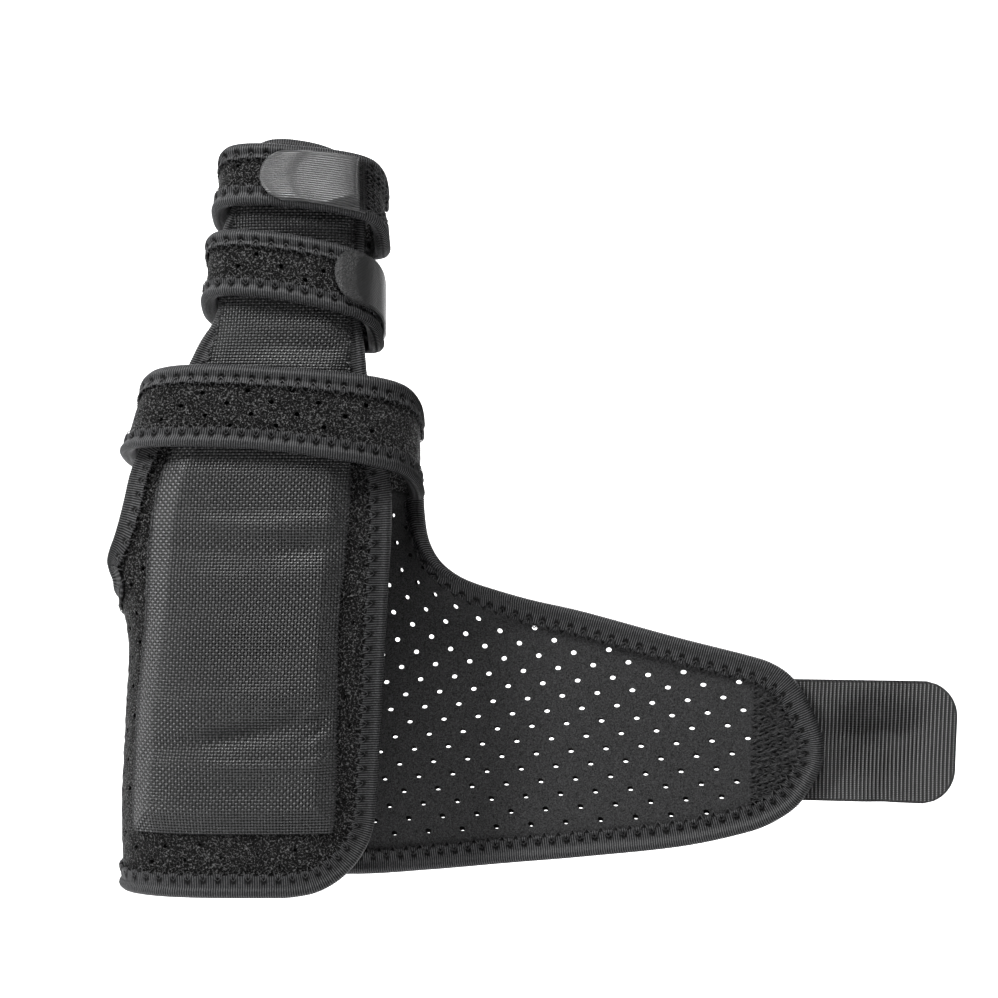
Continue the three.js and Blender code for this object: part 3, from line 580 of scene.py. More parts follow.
weave = {"across": 1.04, "up": 1.0, "weft": 0.26, "warp": 0.08, "between": -0.03, "hole": -0.42}
weaveLook = {
    # greys from the gap to the crown's top: painted shade in the gaps and on the sides, painted highlight on the
    # tops
    "hole": (0.0005, 0.0005, 0.0006), "side": (0.011, 0.0111, 0.0115),
    "crown": (0.046, 0.0464, 0.0478), "bright": (0.16, 0.161, 0.164),
    "round": 0.4, "warp": 0.7, "closed": 1.25, "crownTone": 0.75, "grain": 0.5, "grainMiddle": 0.1,
    "drawn_and_lit": 0.4, "drawnWarp": 0.4, "lit_slope_tone": 0.26,  # how the drawn slope differs: its weave opens, and its tone is lifted as painted light
}


def weaveMaterial():
    # plain weave on the cloth's grid: weft and warp crowns by turns, with painted highlight on the crown tops,
    # weft more than warp, and painted shade on the yarn sides and in a dark gap at each corner
    look = weaveLook
    nylon = newMaterial("woven_nylon", 0.36, 0.6)
    across = clothWave(nylon, "X", 2 * weave["across"])
    up = clothWave(nylon, "Y", 2 * weave["up"])
    isWeft = mathNode(nylon, "GREATER_THAN", times(nylon, across, up), 0.0)
    wide, tall = (mathNode(nylon, "ABSOLUTE", value) for value in (across, up))
    weft = times(nylon, tall, mathNode(nylon, "POWER", wide, look["round"]))
    warp = times(nylon, wide, mathNode(nylon, "POWER", tall, look["round"]))
    drawn_and_lit = pointMark(nylon, "drawn_and_lit")  # open weave on the left slope, painted lighter there as painted light
    warp = times(nylon, warp, minus(nylon, look["warp"], times(nylon, drawn_and_lit, look["drawnWarp"])))
    change = times(nylon, isWeft, minus(nylon, weft, warp))
    corner = plus(nylon, times(nylon, across, across), times(nylon, up, up))
    closed = minus(nylon, look["closed"], times(nylon, drawn_and_lit, look["drawn_and_lit"]))
    gap = minus(nylon, 1.0, times(nylon, corner, closed), clamp=True)
    crown = minus(nylon, plus(nylon, warp, change), gap)
    grain = times(nylon, objectNoise(nylon, 1100, 2, 0.6), look["grain"])
    tone = plus(nylon, times(nylon, crown, look["crownTone"]), minus(nylon, grain, look["grainMiddle"]))
    # painted light: the left slope is painted lighter
    tone = plus(nylon, tone, times(nylon, drawn_and_lit, look["lit_slope_tone"]))
    places = ((0.2, "hole"), (0.55, "side"), (0.95, "crown"), (1.0, "bright"))
    setColour(nylon, tone, [(at, look[key]) for at, key in places])
    addBump(nylon, crown, 0.8, 0.00035)
    return nylon


def foamShadeMaterial():
    # the foam's own dark colour, deepened to near black as painted shade inside the holes
    foam_shade = newMaterial("cut_foam_shade", 0.9, 0.05)
    setColour(foam_shade, objectNoise(foam_shade, 1500, 2, 0.6), [(0.3, (0.0004,) * 3), (0.7, (0.002,) * 3)])
    return foam_shade


hookLook = {"middle": 0.3, "grain": 0.45, "grainHeight": 1.5, "speck": 3.2, "speckHeight": 3.0}


def hookMaterial(name, dark, light, pitch, depth, roughness, specular, speckled=0.0):
    # ribs striped with painted shade in their valleys, with a broken grain, coarse where the hooks show at the
    # tip
    hook = newMaterial(name, roughness, specular)
    wave = clothWave(hook, "Y", pitch)
    grain = objectNoise(hook, 1300, 3, 0.7)
    line = plus(hook, times(hook, wave, depth), hookLook["middle"])
    tone = plus(hook, line, times(hook, grain, hookLook["grain"]))
    height = plus(hook, wave, times(hook, grain, hookLook["grainHeight"]))
    if speckled:
        atTip = minus(hook, speckled, clothAxis(hook, "X"), clamp=True)
        specks = times(hook, times(hook, minus(hook, grain, 0.5), hookLook["speck"]), atTip)
        tone = plus(hook, tone, specks)
        height = plus(hook, height, times(hook, specks, hookLook["speckHeight"]))
    setColour(hook, tone, [(0.2, dark), (0.9, light)])
    addBump(hook, height, 0.45, 0.00015)
    return hook


def ribbedTabMaterial():
    # the ribs are modelled, and the colour follows their height: painted highlight on the crests and painted
    # shade in the valleys, broken into dashes
    ribbed = newMaterial("ribbed_hook_tab", 0.42, 0.3)
    dash = clothWave(ribbed, "Y", tabs["closing_tab"]["dash"])
    broken = plus(ribbed, times(ribbed, dash, 0.13), 0.87)
    tone = times(ribbed, pointMark(ribbed, "crown"), broken)
    valley, slope, top = (0.0008, 0.0008, 0.0008), (0.025, 0.025, 0.0255), (0.2, 0.2, 0.203)
    setColour(ribbed, tone, [(0.34, valley), (0.64, slope), (0.92, top)])
    addBump(ribbed, dash, 0.5, 0.0002)
    return ribbed


def threadMaterial(name, dark, light):
    thread = newMaterial(name, 0.45, 0.35)
    twist = objectNoise(thread, 2400, 2, 0.5)
    setColour(thread, twist, [(0.3, dark), (0.75, light)])
    addBump(thread, twist, 0.3, 0.0002)
    return thread


# hook tabs
tabs = {
    "upper_finger_tab": {
        "ring": "upper_finger_strap", "tipX": 5.5, "round": 0.32, "lastX": 39.4, "low": 0.08, "high": 0.9,
        "thick": 1.0, "gap": 0.35, "columns": 97, "rib": 0.72, "ribHeight": 0.05, "swell": 0.6, "bulge": 3.0},
    "lower_finger_tab": {
        "ring": "lower_finger_strap", "tipX": 30, "round": 0.22, "last": 140, "low": 0.2, "high": 0.96,
        "thick": 1.0, "gap": 0.35, "columns": 61, "rib": 0.5, "ribHeight": 0.0, "swell": 0.3},
    "closing_tab": {
        "width": 41.5, "start": 172, "end": 240, "corner": 12, "middle": 49.5, "thick": 1.2, "rib": 1.3,
        "ribHeight": 0.32, "dash": 0.62, "overSheet": 0.9, "gap": 0.45,
        # along the wing and height, for the crease, the hollow and the turned-back end
        "fold": 2.2, "foldAt": (223, 50), "foldLean": 0.4, "foldWide": 4.5, "foldHeights": (66, 40),
        "foldReach": (206, 222), "dent": 9.0, "dentAt": (213, 51), "dentSize": (13, 9.5),
        "curl": 3.0, "curlReach": (224, 244)},
}
litTabRib, shadedTabRib = tabs["upper_finger_tab"]["rib"], tabs["lower_finger_tab"]["rib"]
looks = {
    "fleece": fleeceMaterial(),
    "lining": liningMaterial(),
    "tape": tapeMaterial(),
    "weave": weaveMaterial(),
    "foam_shade": foamShadeMaterial(),
    # one hook tape in two copies: a lighter one for the upper tab as painted sheen and a darker one for the
    # lower tab as painted shade
    "satinTab": hookMaterial("satin_tab", (0.01, 0.01, 0.0103), (0.074, 0.074, 0.0755),
                             litTabRib, 0.22, 0.32, 0.6),
    "darkTab": hookMaterial("dark_tab", (0.003, 0.003, 0.0031), (0.021, 0.021, 0.0216),
                            shadedTabRib, 0.06, 0.34, 0.34, speckled=6.0),
    "hookTab": ribbedTabMaterial(),
    "thread": threadMaterial("sewing_thread", (0.003, 0.003, 0.0032), (0.02, 0.02, 0.021)),
    "palerThread": threadMaterial("seam_thread", (0.008, 0.008, 0.0085), (0.06, 0.06, 0.062)),
}


def dress(piece, look, slotName, *nodes):
    for name in look if isinstance(look, tuple) else (look,):
        piece.data.materials.append(looks[name])
    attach(piece, "root")
    if nodes:
        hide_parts(*nodes)


def flatArea(outline):
    x, y = outline[:, 0], outline[:, 1]
    return abs(float((x * np.roll(y, -1) - y * np.roll(x, -1)).sum())) / 2


def declareSheet(outline):
    size = (outline.max(0) - outline.min(0)) * 0.001
    area = max(0.3001 * size[0] * size[1], min(flatArea(outline) * 1e-6, size[0] * size[1]))


print("materials made:", len(looks))

# palm panel: fleece-faced sheet, as tall as the whole brace
palmPanel = {
    "height": 253.3, "corner": 28, "tipHeight": 15.5, "tipApex": 10, "tipBlunt": 0.985,
    "notchLow": 99, "notchHigh": 107,
    "spacing": 1.35, "holeRadius": 0.7, "holeMargin": 2.2, "holeDip": 0.35, "crinkle": 0.2, "crinkleSize": 1.9,
    "outlineStep": 0.6,
    # height, and how far right of the middle
    "thumbEdge": [(99, -43), (105, -46), (109, -48), (113, -47.4), (120, -44.6), (131, -41.6), (140, -39.6),
                  (147, -37), (160, -29.5), (171, -22.8), (180, -18.4), (186, -15.4), (190, -12.4), (196, -10.2),
                  (210, -9.2), (222, -8.8), (230, -5.4), (239, -4), (254, -4)],
    "wingEdge": [(0, 43), (28, 43.8), (46, 45), (83, 46.8), (109, 48.3), (125, 49), (137, 48.6), (150, 46.5),
                 (171, 41), (182, 39.8), (198, 37.8), (214, 39.2), (230, 40), (254, 40)],
}
thumbEdgeX, wingEdgeX = smoothTable(palmPanel["thumbEdge"]), smoothTable(palmPanel["wingEdge"])
lip, laminate = cloth["lip"], cloth["laminate"]


def seamReach(z):
    return wing["seamBehind"] + cloth["seamGap"] / 2 - thumbHalf(z)


def panelLimits(height):
    height = np.asarray(height, float)
    low, high, top = palmPanel["notchLow"], palmPanel["notchHigh"], palmPanel["height"]
    notch = (height >= low) & (height <= high)
    inside = np.clip(height, lip, top - lip)
    z = np.where(notch, inside - lip, inside)
    corner = palmPanel["corner"] - lip
    down = np.maximum(0, lip + corner - z) / corner
    up = np.maximum(0, z - top + palmPanel["tipHeight"]) / (palmPanel["tipHeight"] - lip)
    up = np.minimum(up, palmPanel["tipBlunt"])
    apex, narrow = palmPanel["tipApex"], np.sqrt(1 - up * up)
    right = wingEdgeX(z) - lip - corner * (1 - np.sqrt(1 - down * down))
    edge = reachAtX(apex + (thumbEdgeX(z) + lip - apex) * narrow, z)
    climb = np.clip(1 - (height - low) / (high - low), 0, 1)
    cut = seamReach(z) + (edge - seamReach(z)) * np.sqrt(1 - climb * climb)
    start = np.where(height < low, seamReach(z), np.where(notch, cut, edge))
    return z, start, reachAtX(apex + (right - apex) * narrow, z)


def thinned(points, gap):
    kept = [points[0]]
    for p in points[1:]:
        if np.hypot(*(p - kept[-1])) > gap:
            kept.append(p)
    if np.hypot(*(kept[-1] - kept[0])) < gap:
        kept.pop()
    return np.array(kept)


def panelSides():
    turn = np.linspace(0, math.pi / 2, 24)
    tip = palmPanel["height"] - lip - (palmPanel["tipHeight"] - lip) * (1 - np.sin(turn))
    heights = np.concatenate([np.linspace(0, palmPanel["height"] - palmPanel["tipHeight"], 200), tip])
    z, _, end = panelLimits(heights)
    right = pairs(end, z)
    z, start, _ = panelLimits(heights[heights > palmPanel["notchHigh"]])
    left = pairs(start, z)
    depth = palmPanel["notchHigh"] - palmPanel["notchLow"]
    z, start, _ = panelLimits(palmPanel["notchLow"] + depth * (1 - np.cos(turn)))
    return right, np.concatenate([pairs(start, z), left])


def lattice(outline, margin, run, rise):
    # a centred lattice of holes that keeps clear of an outline
    low, high = outline.min(0) - 20, outline.max(0) + 20
    run, rise = np.array(run), np.array(rise)
    span = int(max(high - low) / 5)
    steps = range(-span, span)
    spots = np.array([i * run + j * rise + k * (run + rise) / 2 for i in steps for j in steps for k in (0, 1)])
    spots = spots[((spots > low) & (spots < high)).all(1)]
    spots = spots[insideOutline(spots, outline)]
    return spots[~nearOutline(spots, outline, margin)]


def makePalmPanel():
    right, left = panelSides()
    seamZ = np.linspace(left[0, 1] - 1, lip, 80)
    seam = pairs(seamReach(seamZ), seamZ)
    bottom = pairs(np.linspace(seam[-1, 0], right[0, 0], 90), lip)
    outline = thinned(np.concatenate([right, left[::-1], seam, bottom]), palmPanel["outlineStep"])
    margin, radius = cloth["tapeWidth"] + palmPanel["holeMargin"], palmPanel["holeRadius"]
    holes = lattice(outline, margin, wing["holeRun"], wing["holeRise"])
    holes = holes[~underPocket(holes)]
    flat, faces = punchedFaces(outline, holes, radius, palmPanel["spacing"], 3)
    nap = palmPanel["crinkle"] * hills(flat[:, 0], flat[:, 1], palmPanel["crinkleSize"], 5)
    nap = nap - holeDip(flat, holes, radius, palmPanel["holeDip"])
    outer = palmPlace(flat[:, 0], flat[:, 1], nap)
    inner = palmPlace(flat[:, 0], flat[:, 1], -laminate)
    piece = closedSheet("palmPanel", faces, outer, inner, flat)
    dress(piece, ("fleece", "lining", "foam_shade"), "fleece", "palm_panel")
    setSkins(piece, len(faces))
    declareSheet(outline)
    print("palm panel:", len(holes), "holes,", len(piece.data.polygons), "faces")


def setSkins(piece, count):  # outer skin, inner skin, and the cut core between them
    index = np.full(len(piece.data.polygons), 2, np.int32)
    index[:count], index[count:2 * count] = 0, 1
    piece.data.polygons.foreach_set("material_index", index)


# pockets: woven cloth over a flat stay
pockets = {
    "palm_pocket": {
        "edges": [(21.3, -36.6, 29), (26, -37.2, 30.2), (61, -35.6, 31), (91, -33, 31.4), (118, -31.8, 34),
                  (138, -28.4, 35.2), (157, -20, 35)],  # height, left and right
        "lift": 0.2, "rim": 0.75, "stay": 3.1, "leftStay": 9.0, "rightStay": 7.0, "endStay": 8.5,
        "drawn_and_lit": 1.0, "fold": 1.25,
        # height, slope, how tall, how wide, and the reach it is strongest at and spread
        "wrinkles": [(140, 0.0, 0.9, 3, 0, 40), (123.5, 0.0, 1.8, 3.2, 4, 32), (115, -0.02, -1.6, 3.0, 4, 32),
                     (106.5, 0.02, 1.4, 3.4, 2, 34), (91, 0.01, 0.8, 4, 4, 34), (81, 0.03, -0.8, 4, 0, 30),
                     (68, 0.08, 1.5, 4, 4, 34), (54, 0.18, -2.9, 4.2, 0, 34), (44, 0.0, 0.9, 1.5, -2, 28),
                     (36.5, -0.03, -1.6, 3.4, 2, 32), (63, 0.5, 1.5, 2.0, 25, 8), (55.5, 0.45, -1.7, 2.0, 25, 8),
                     (47, 0.4, 1.5, 2.0, 26, 8), (76, 0.6, -1.1, 2.2, 26, 8)]},
    "finger_pocket": {
        "edges": [(162, -15.5, 34.4), (178, -12.4, 34.6), (199, -7.2, 34.6), (226, -3.6, 36), (243, 0.5, 36)],
        "lift": 1.45, "rim": 0.65, "stay": 1.1, "leftStay": 6.0, "rightStay": 6.0, "endStay": 0,
        "drawn_and_lit": 0.0, "fold": 1.35,
        "wrinkles": [(224.5, -0.08, 1.0, 2.4, 14, 24), (199, -0.1, -0.7, 2.6, 14, 20),
                     (187.5, -0.08, 1.3, 2.8, 14, 22), (181, -0.08, -1.0, 2.6, 12, 22),
                     (174.5, -0.08, 1.1, 2.6, 16, 24)]},
}
pocketSides = {node: (tableColumn(p["edges"], 1), tableColumn(p["edges"], 2)) for node, p in pockets.items()}


pocketCloth = {
    "holeMargin": 1.5, "stayEdge": 24,  # how sharply the slope ends at the stay
    "wander": 2.2, "wanderSize": 24,
    "foldLeast": 0.65, "foldVary": 0.35, "foldVarySize": 15, "foldFade": (1.0, 7),
    "ripple": 0.14, "rippleSize": 9, "fray": 0.16, "frayWide": 1.2,
}


def underPocket(spots):
    hidden, margin = np.zeros(len(spots), bool), pocketCloth["holeMargin"]
    z = spots[:, 1]
    x = palmPlace(spots[:, 0], z)[:, 0]
    for node, p in pockets.items():
        left, right = pocketSides[node]
        atHeight = (z > p["edges"][0][0] - margin) & (z < p["edges"][-1][0] + margin)
        hidden |= atHeight & (x > left(z) - margin) & (x < right(z) + margin)
    return hidden


def makePocket(name, node):
    p = pockets[node]
    low, high = p["edges"][0][0], p["edges"][-1][0]
    stepU, stepV = weave["across"] / 2, weave["up"] / 2
    z = np.linspace(low, high, int(round((high - low) / stepV)) + 1)
    left, right = (reachAtX(side(z), z) for side in pocketSides[node])
    u = np.arange(math.floor(left.min() / stepU) - 1, math.ceil(right.max() / stepU) + 2) * stepU
    gridU, gridZ = np.meshgrid(u, z)
    s = np.clip(gridU, left[:, None], right[:, None])
    clipped = (gridU < left[:, None]).astype(int) - (gridU > right[:, None]).astype(int)
    flags = clipped.ravel()
    faces = [face for face in gridFaces(*s.shape) if abs(sum(flags[i] for i in face)) < 3]
    fromLeft, fromRight = s - left[:, None], right[:, None] - s
    fromSide = np.minimum(fromLeft, fromRight)
    fromFoot, fromTop = gridZ - low, high - gridZ
    fromEdge = np.minimum(fromSide, np.minimum(fromFoot, fromTop))
    climb = np.minimum(fromLeft / p["leftStay"], fromRight / p["rightStay"])
    if p["endStay"]:
        climb = np.minimum(climb, fromFoot / p["endStay"])
    sharp = pocketCloth["stayEdge"]
    onStay = 1 - np.logaddexp(0, sharp * (1 - climb)) / sharp  # a slope up to the stay's edge, then flat
    puff = p["rim"] + p["stay"] * np.clip(onStay, 0, 1)
    wander = pocketCloth["wander"] * hills(s, gridZ, pocketCloth["wanderSize"], 17)
    fade = smoothStep(*pocketCloth["foldFade"], fromEdge)
    for height, slope, tall, wide, middle, spread in p["wrinkles"]:
        centre = height + slope * (s - middle) + wander
        vary = hills(s + 9 * height, gridZ * 0, pocketCloth["foldVarySize"], 23)
        along = pocketCloth["foldLeast"] + pocketCloth["foldVary"] * vary
        along = along * np.exp(-(((s - middle) / spread) ** 2))
        crest = np.exp(-(((gridZ - centre) / wide) ** 2))
        puff += p["fold"] * tall * along * crest * fade
    puff += pocketCloth["ripple"] * hills(s, gridZ, pocketCloth["rippleSize"], 29) * smoothStep(0, 4, fromEdge)
    column, line = np.round(gridU / stepU).astype(int), np.arange(len(z))[:, None] + 0 * s.astype(int)
    centre = (column % 2 == 1) & (line % 2 == 1)
    isWeft = (column // 2 + line // 2) % 2 == 0
    isHole = (column % 2 == 0) & (line % 2 == 0)
    crown = np.where(isWeft, weave["weft"], weave["warp"])
    relief = np.where(centre, crown, np.where(isHole, weave["hole"], weave["between"]))
    frayed = pocketCloth["fray"] * rng.uniform(-1, 1, s.shape) * (fromEdge < pocketCloth["frayWide"])
    relief = np.where(clipped == 0, relief, 0) + frayed
    outer = palmPlace(s, gridZ, p["lift"] + puff + relief).reshape(-1, 3)
    inner = palmPlace(s, gridZ, p["lift"] + 0 * s).reshape(-1, 3)
    uv = np.stack([s, line * stepV], axis=-1).reshape(-1, 2)
    used, faces = keepUsed(faces, s.size)
    piece = closedSheet(name, faces, outer[used], inner[used], uv[used], sharp=80)
    # the left slope, where the weave opens and the colour is painted lighter as painted light
    up = fromLeft / p["leftStay"]
    drawn_and_lit = p["drawn_and_lit"] * smoothStep(0.05, 0.3, up) * (1 - smoothStep(0.8, 1.15, up))
    markPoints(piece, "drawn_and_lit", np.tile(drawn_and_lit.ravel()[used], 2))
    dress(piece, "weave", "pocket_cloth", node)
    outline = np.concatenate([pairs(left, z), pairs(right, z)[::-1]])
    declareSheet(outline)
    print(name + ":", len(piece.data.polygons), "faces")


# back panel and wing
bottomEdgeZ, topEdgeZ, backThumbZ = (smoothTable(wing[k]) for k in ("bottomEdge", "topEdge", "thumbEdge"))


def bandLowAt(s):
    band = rings["knuckle_band"]
    left, right, front, back, mid = band["lower"]
    spot = backPlace(s, wing["wrapHigh"])
    middle = (front + back) / 2
    half = np.where(spot[..., 0] > mid, right - mid, mid - left)
    angle = np.degrees(np.arctan2((spot[..., 0] - mid) / half, (middle - spot[..., 1]) / (back - middle)))
    return band["low"](angle % 360)


def backLimits(s):
    s = np.minimum(np.asarray(s, float), wing["length"] - lip)
    inset = lambda edge: lip * np.minimum(np.hypot(1, edge(s + 0.5) - edge(s - 0.5)), wing["steepest"])
    underTape = (s < wing["thumbJoin"] - wing["thumbEnd"]) | (s > wing["start"] - wing["wingJoin"])
    high = bandLowAt(s) - cloth["clearance"] + np.where(underTape, 0, lip)
    high = np.where(s < -wing["thumbEnd"], np.minimum(high, backThumbZ(s) - inset(backThumbZ)), high)
    high = np.where(s > wing["start"], np.minimum(high, topEdgeZ(s) - inset(topEdgeZ)), high)
    return s, bottomEdgeZ(s) + inset(bottomEdgeZ), high


def wingRelief(s, z):
    # soft sag along the wing, and the pits and pucker where the closing tab is sewn on
    sag = wing["sag"] * hills(s, z, 45, 37) * smoothStep(40, 80, s)
    start, end = wing["blockStart"], wing["blockEnd"]
    inBlock = smoothStep(start, start + 2, s) * (1 - smoothStep(end, end + 3, s))
    local = np.random.default_rng(31)
    pits = np.zeros(np.shape(s))
    for column in range(wing["pitColumns"]):
        for row in range(wing["pitRows"]):
            dx = s - (start + 1.5 + wing["pitAcross"] * column + local.uniform(-0.5, 0.5))
            height = wing["pitLow"] + wing["pitUp"] * row + wing["pitUp"] / 2 * (column % 2)
            dz = z - (height + local.uniform(-0.4, 0.4))
            tilt = local.uniform(-0.9, 0.9)
            along = dx * math.cos(tilt) + dz * math.sin(tilt)
            aside = dz * math.cos(tilt) - dx * math.sin(tilt)
            pits = np.maximum(pits, np.exp(-((along / 0.95) ** 2) - (aside / 0.5) ** 2))
    return sag, inBlock * (wing["pucker"] * hills(s, z, 3.4, 33) - pits)


def wingStations(count):  # from the butt seam to the wing's end
    start = -wing["seamBehind"] + cloth["seamGap"] / 2
    straight = np.linspace(start, wing["straightEnd"], count)
    return np.concatenate([straight, np.linspace(wing["roundStart"], wing["length"] - lip, 60)])


def makeBackPanel():
    s, low, high = backLimits(wingStations(200))
    seam = np.linspace(high[0] - 1, low[0] + 1, 70)
    end = np.linspace(low[-1], high[-1], 8)[1:-1]
    around = [pairs(s, low), pairs(s[-1], end), pairs(s, high)[::-1], pairs(s[0], seam)]
    outline = thinned(np.concatenate(around), palmPanel["outlineStep"])
    radius = wing["holeRadius"]
    holes = lattice(outline, cloth["tapeWidth"] + wing["holeMargin"], wing["holeRun"], wing["holeRise"])
    holes = holes[holes[:, 0] < wing["holeLast"]]
    finer = (wing["blockStart"] - 2, wing["blockSpacing"])
    flat, faces = punchedFaces(outline, holes, radius, wing["spacing"], 8, wing["holeShape"], finer)
    s, z = flat[:, 0], flat[:, 1]
    sag, pucker = wingRelief(s, z)
    nap = sag + wing["crinkle"] * hills(s, z, palmPanel["crinkleSize"], 6) - holeDip(flat, holes, radius, 0.3)
    face = sag - pucker + holeDip(flat, holes, radius, 0.25)
    # the holes lean on the low rows, where the sheet tips forward
    ahead, _, _ = backLimits(s)
    inRim = np.minimum(z - bottomEdgeZ(ahead), topEdgeZ(np.maximum(ahead, wing["start"])) - z)
    lean = wing["holeLean"] * np.interp(z, [wing["leanLow"], wing["leanHigh"]], [1, 0])
    lean = lean * smoothStep(2.5, 7, inRim) * smoothStep(20, 40, s)
    outer = backPlace(s, z - lean, nap)
    inner = backPlace(s, z, face - laminate)
    piece = closedSheet("backPanel", faces, outer, inner, flat)
    dress(piece, ("fleece", "lining", "foam_shade"), "lining", "back_panel")
    setSkins(piece, len(faces))
    declareSheet(outline)
    print("back panel and wing:", len(holes), "holes,", len(piece.data.polygons), "faces")


# fleece rings: the knuckle band and the two finger straps
def makeRing(name, node, seed):
    ring = rings[node]
    height = ring["height"]
    around = ringPlace(ring, np.linspace(180, 540, 361), 0.5)
    length = float(np.linalg.norm(np.diff(around, axis=0), axis=1).sum())
    u = np.linspace(0, length, int(length / 1.2) + 1)
    v = np.linspace(lip, height - lip, int(height / 1.2) + 1)
    around = [pairs(u, v[0]), pairs(length, v)[1:], pairs(u, v[-1])[::-1][1:], pairs(0.0, v)[::-1][1:-1]]
    outline = np.concatenate(around)
    holes = lattice(outline, ringCloth["holeMargin"], wing["holeRun"], ringCloth["holeRise"])
    turn = holes[:, 0] / length * 360 - 180
    holes = holes[(np.abs(turn) < 42) | (np.abs(turn) > 110)]  # none that would show right through
    radius = palmPanel["holeRadius"]
    flat, faces = punchedFaces(outline, holes, radius, ringCloth["spacing"], seed)
    angle = 180 + flat[:, 0] / length * 360
    fromSeam = np.minimum(flat[:, 0], length - flat[:, 0])
    wave = ring["wave"] * hills(flat[:, 0], flat[:, 1], 16, seed + 1) * smoothStep(0, 12, fromSeam)
    crinkle = smoothStep(0, 3, fromSeam) * palmPanel["crinkle"]
    nap = wave + crinkle * hills(flat[:, 0], flat[:, 1], palmPanel["crinkleSize"], seed + 2)
    nap = nap - holeDip(flat, holes, radius, palmPanel["holeDip"])
    outer = ringPlace(ring, angle, flat[:, 1] / height, nap)
    inner = ringPlace(ring, angle, flat[:, 1] / height, wave - laminate)
    joined = (flat[:, 0] < 1e-4) | (flat[:, 0] > length - 1e-4)
    piece = closedSheet(name, faces, outer, inner, flat, joined)
    dress(piece, "fleece", "fleece", node)
    declareSheet(outline)
    print(name + ":", len(holes), "holes,", len(piece.data.polygons), "faces")


# binding tape: a ribbed strip folded over an edge
binding = {
    "dentPitch": 5.0, "dentDeep": 0.95, "dentWide": 0.72, "dentIn": 2.4,  # where the stitches pull it in
    "tooth": 0.28, "toothWide": 1.5, "scallop": 0.4, "ridge": 0.4, "sway": 0.15,
    "rawEdge": 0.3, "flat": 2.2,  # how near the raw edge, and how far in the tape lies flat
}


def tapeSection(slot, width):
    # inward distance and height over the sheet's middle, from the outer raw edge round to the inner one
    half, lipOut = laminate / 2 + slot, cloth["lip"]
    top, ridge = half + cloth["tape"], binding["ridge"]
    upper = [(width, half + 0.05), (width - 0.1, top - 0.1)]
    inwards = np.linspace(width - 0.7, 2.7, 7)
    upper += [(w, top - 0.1 - 0.35 * (width - 0.7 - w) / (width - 3.4)) for w in inwards]
    upper += [(2.1, top - 0.3), (1.5, top + 0.5 * ridge), (0.8, top + ridge), (0.0, top + 0.6 * ridge)]
    upper += [(-0.6, top * 0.9), (-lipOut * 0.86, top * 0.62), (-lipOut, top * 0.3)]
    lower = [(w, -n) for w, n in reversed(upper)]
    under = [(width, -half), (-slot * 0.8, -half), (-slot * 0.8, half), (width, half)]
    return np.array(upper + [(-lipOut * 1.04, 0)] + lower + under), len(upper)


def makeTape(name, node, spot, run, slot, width, closed=False):
    # spot(inward, n) gives the points of every station at once
    section, count = tapeSection(slot, width)
    stations = len(run)
    rib = np.where(np.arange(stations) % 2 == 0, cloth["ribHeight"], -cloth["ribHeight"])
    phase = (run % binding["dentPitch"]) - binding["dentPitch"] / 2
    dent = np.exp(-((phase / binding["dentWide"]) ** 2))
    tooth = np.exp(-((phase / binding["toothWide"]) ** 2))
    sway = binding["sway"] * hills(run, run * 0, 9, 41)
    columns, along, painted_tape_shade = [], [], []
    gone = 0.0
    for k, (inward, n) in enumerate(section):
        if k:
            gone += math.hypot(*(section[k] - section[k - 1]))
        skin, atEdge, isFlat = k < 2 * count + 1, abs(n) < 0.6, inward > binding["flat"]
        side = np.sign(n) if n else 0
        fromRaw = width - inward
        isRaw = fromRaw < binding["rawEdge"]
        near, lift, raised = 0, 0 * rib, 0 * rib
        if skin:
            near = math.exp(-(((fromRaw - binding["dentIn"]) / 0.8) ** 2))
            lift = binding["tooth"] * tooth * math.exp(-(((fromRaw - 0.9) / 0.9) ** 2))
            raised = rib * (0.35 if isRaw else 0.7 if isFlat else 1.3)
        ragged = binding["scallop"] * (1 - tooth) * isRaw
        reach = inward - ragged - (raised if atEdge else 0) + sway * isFlat
        height = (0 if atEdge else raised) + lift - binding["dentDeep"] * dent * near
        columns.append(spot(reach, n + side * height - laminate / 2))
        along.append(gone)
        # painted shade: darker in the stitch dents, between the raw edge's teeth and on the tape's under faces
        painted_tape_shade.append(dent * near + (0.5 * (1 - tooth) if isRaw else 0) + (0.0 if skin else 0.4))
    points = np.stack(columns, axis=1)
    faces = gridFaces(stations, len(section), closed, True)
    uv = np.stack(np.broadcast_arrays(run[:, None], np.array(along)[None, :]), axis=-1).reshape(-1, 2)
    if not closed:
        first = range(len(section))
        faces += [tuple(reversed(first)), tuple((stations - 1) * len(section) + k for k in first)]
    points = points.reshape(-1, 3)
    quads = [f for f in faces if len(f) == 4]
    if signedVolume(points, quads) < 0:
        faces = [tuple(reversed(f)) for f in faces]
    piece = makeMesh(name, points, faces, uv, sharp=70)
    markPoints(piece, "painted_tape_shade", np.stack(painted_tape_shade, axis=1).ravel())
    dress(piece, "tape", "tape", node)
    return piece


